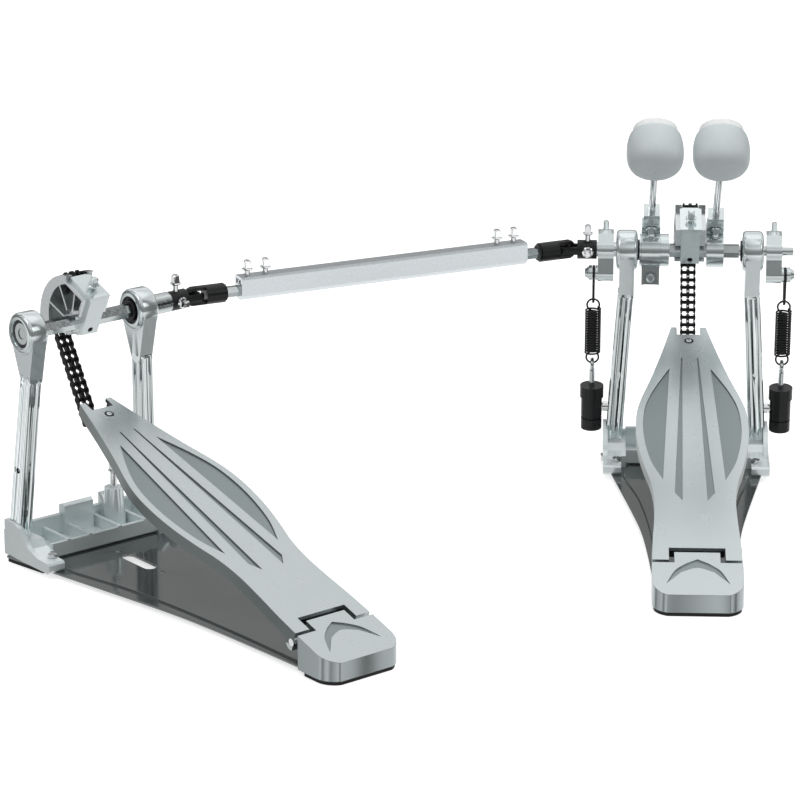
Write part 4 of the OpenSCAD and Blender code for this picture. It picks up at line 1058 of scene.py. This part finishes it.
@dataclass
class PedalUnit:
    """One pedal: floor plate, casting, posts, heel, footboard, cam and chain."""

    skin: Skin
    prefix: str
    place: Matrix
    feet: str
    fasteners: str
    casting: str
    keyway: Tuple[Zone, ...] = ()
    base_bevel: float = 0.5 * MM
    chain_bevel: float = 0.1 * MM
    # Outlines as radius and height, and corners, in millimetres
    toe_cap: Sequence[Tuple[float, float]] = (
        (0.0, 0.85), (1.2, 0.8), (2.0, 0.6), (2.45, 0.2), (2.45, -0.3), (0.0, -0.3))
    set_screw: Sequence[Tuple[float, float]] = (
        (0.0, -1.2), (1.1, -1.2), (1.1, 0.0), (2.1, 0.0), (2.1, -2.4), (0.0, -2.4))
    # Corners of the dark block that paints the shade in the gap at the heel notch
    shade_block_low: Point = (-21.2, 12.7, 0.8)
    shade_block_high: Point = (21.2, 14.5, 7.3)

    def build(self) -> None:
        """Dresses the pedal's nodes and adds its fine pieces."""
        self._stand()
        self._treads()
        self._chain()
        self._details()

    def _stand(self) -> None:
        """Dresses what stands on the floor."""
        # Painted shade: the hinge pin is painted near black where it shows in the gap between
        # heel plate and footboard
        pin = (Within(DARK_STEEL, is_shaded_hinge_pin),)
        self.skin.dress([
            Dressing(self.feet, RUBBER),
            Dressing(self.fasteners, CHROME, zones=pin, place=self.place),
            Dressing(self.casting, FRAME_CAST),
            Dressing(self.prefix + "posts", POST_CAST, place=self.place,
                     zones=(*self.keyway, Within(CAST, is_housing))),
            Dressing(self.prefix + "base_plate", BASE, bevel=self.base_bevel),
            Dressing(self.prefix + "bearings", DARK_STEEL, place=self.place,
                     zones=(Within(STEEL, near_shaft),)),
        ])

    def _treads(self) -> None:
        """Dresses the heel plate and the footboard."""
        self.skin.dress([
            Dressing(self.prefix + "heel_plate", BOARD, place=self.place,
                     # Painted shade: the heel plate's upright walls get a darker copy of its
                     # finish
                     zones=(Sunken(BOARD_DEEP), Within(SHADED_HEEL_SIDE, is_shaded_heel_wall))),
            Dressing(self.prefix + "footboard", BOARD, CHROME, place=self.place,
                     # Painted shade: the footboard's upright walls get a darker copy of its
                     # finish
                     zones=(Sunken(BOARD_DEEP), Within(SHADED_BOARD_SIDE, is_shaded_board_wall),
                            # Painted shadow: the toe screw's countersink and flange are painted
                            # black
                            Within(BLACK, in_toe_screw_shadow))),
        ])

    def _chain(self) -> None:
        """Dresses the cam, the strap and the four parts of the chain."""
        self.skin.dress([
            Dressing(self.prefix + "cam", CAM_CAST, place=self.place,
                     zones=(Within(CAM_DEEP, in_cam_pocket),)),
            Dressing(self.prefix + "chain_strap", CAST, CHROME),
            *[Dressing(self.prefix + "chain_" + part, BLACK_CHAIN, bevel=self.chain_bevel)
              for part in ("wrap", "upper", "middle", "run")],
        ])

    def _details(self) -> None:
        """Adds the toe screw's cap, the strap's set screw and a dark block of painted shade in
        the gap at the heel notch.
        """
        board, strap = self.prefix + "footboard", self.prefix + "chain_strap"
        Turned(self.prefix + "toe_screw_cap", board, BOARD, self.toe_cap,
               TOE_SCREW, TREAD_UP, self.place).build(self.skin.frame)
        Turned(self.prefix + "strap_set_screw", strap, BLACK, self.set_screw,
               STRAP_HOLE, -STRAP_HOLE_IN, self.place).build(self.skin.frame)
        # Painted shade: a dark block in the gap between heel plate and footboard, where no part
        # stands
        ShadeBlock(self.prefix + "notch_wall", board, DARK_STEEL, self.shade_block_low, self.shade_block_high,
              self.place @ BOARD_FRAME).build(self.skin.frame)


def main() -> None:
    """Builds the studio and the dressed sub-assemblies in order."""
    logging.basicConfig(level=logging.INFO, format="%(name)s: %(message)s")
    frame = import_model()
    skin = Skin(frame)
    for part in (
        Studio(),
        DriveShaft(skin),
        ShaftsAndClamps(skin),
        BeaterSide(skin, "right", SPRING_X),
        BeaterSide(skin, "left", -SPRING_X),
        PedalUnit(skin, "", MAIN_FRAME, "rubber_feet", "frame_fasteners", "frame_casting",
                  keyway=(Within(DARK_STEEL, in_keyway),)),
        PedalUnit(skin, "slave_", SLAVE_FRAME, "slave_feet", "slave_fasteners",
                  "slave_casting"),
    ):
        part.build()


if __name__ == "__main__":
    main()
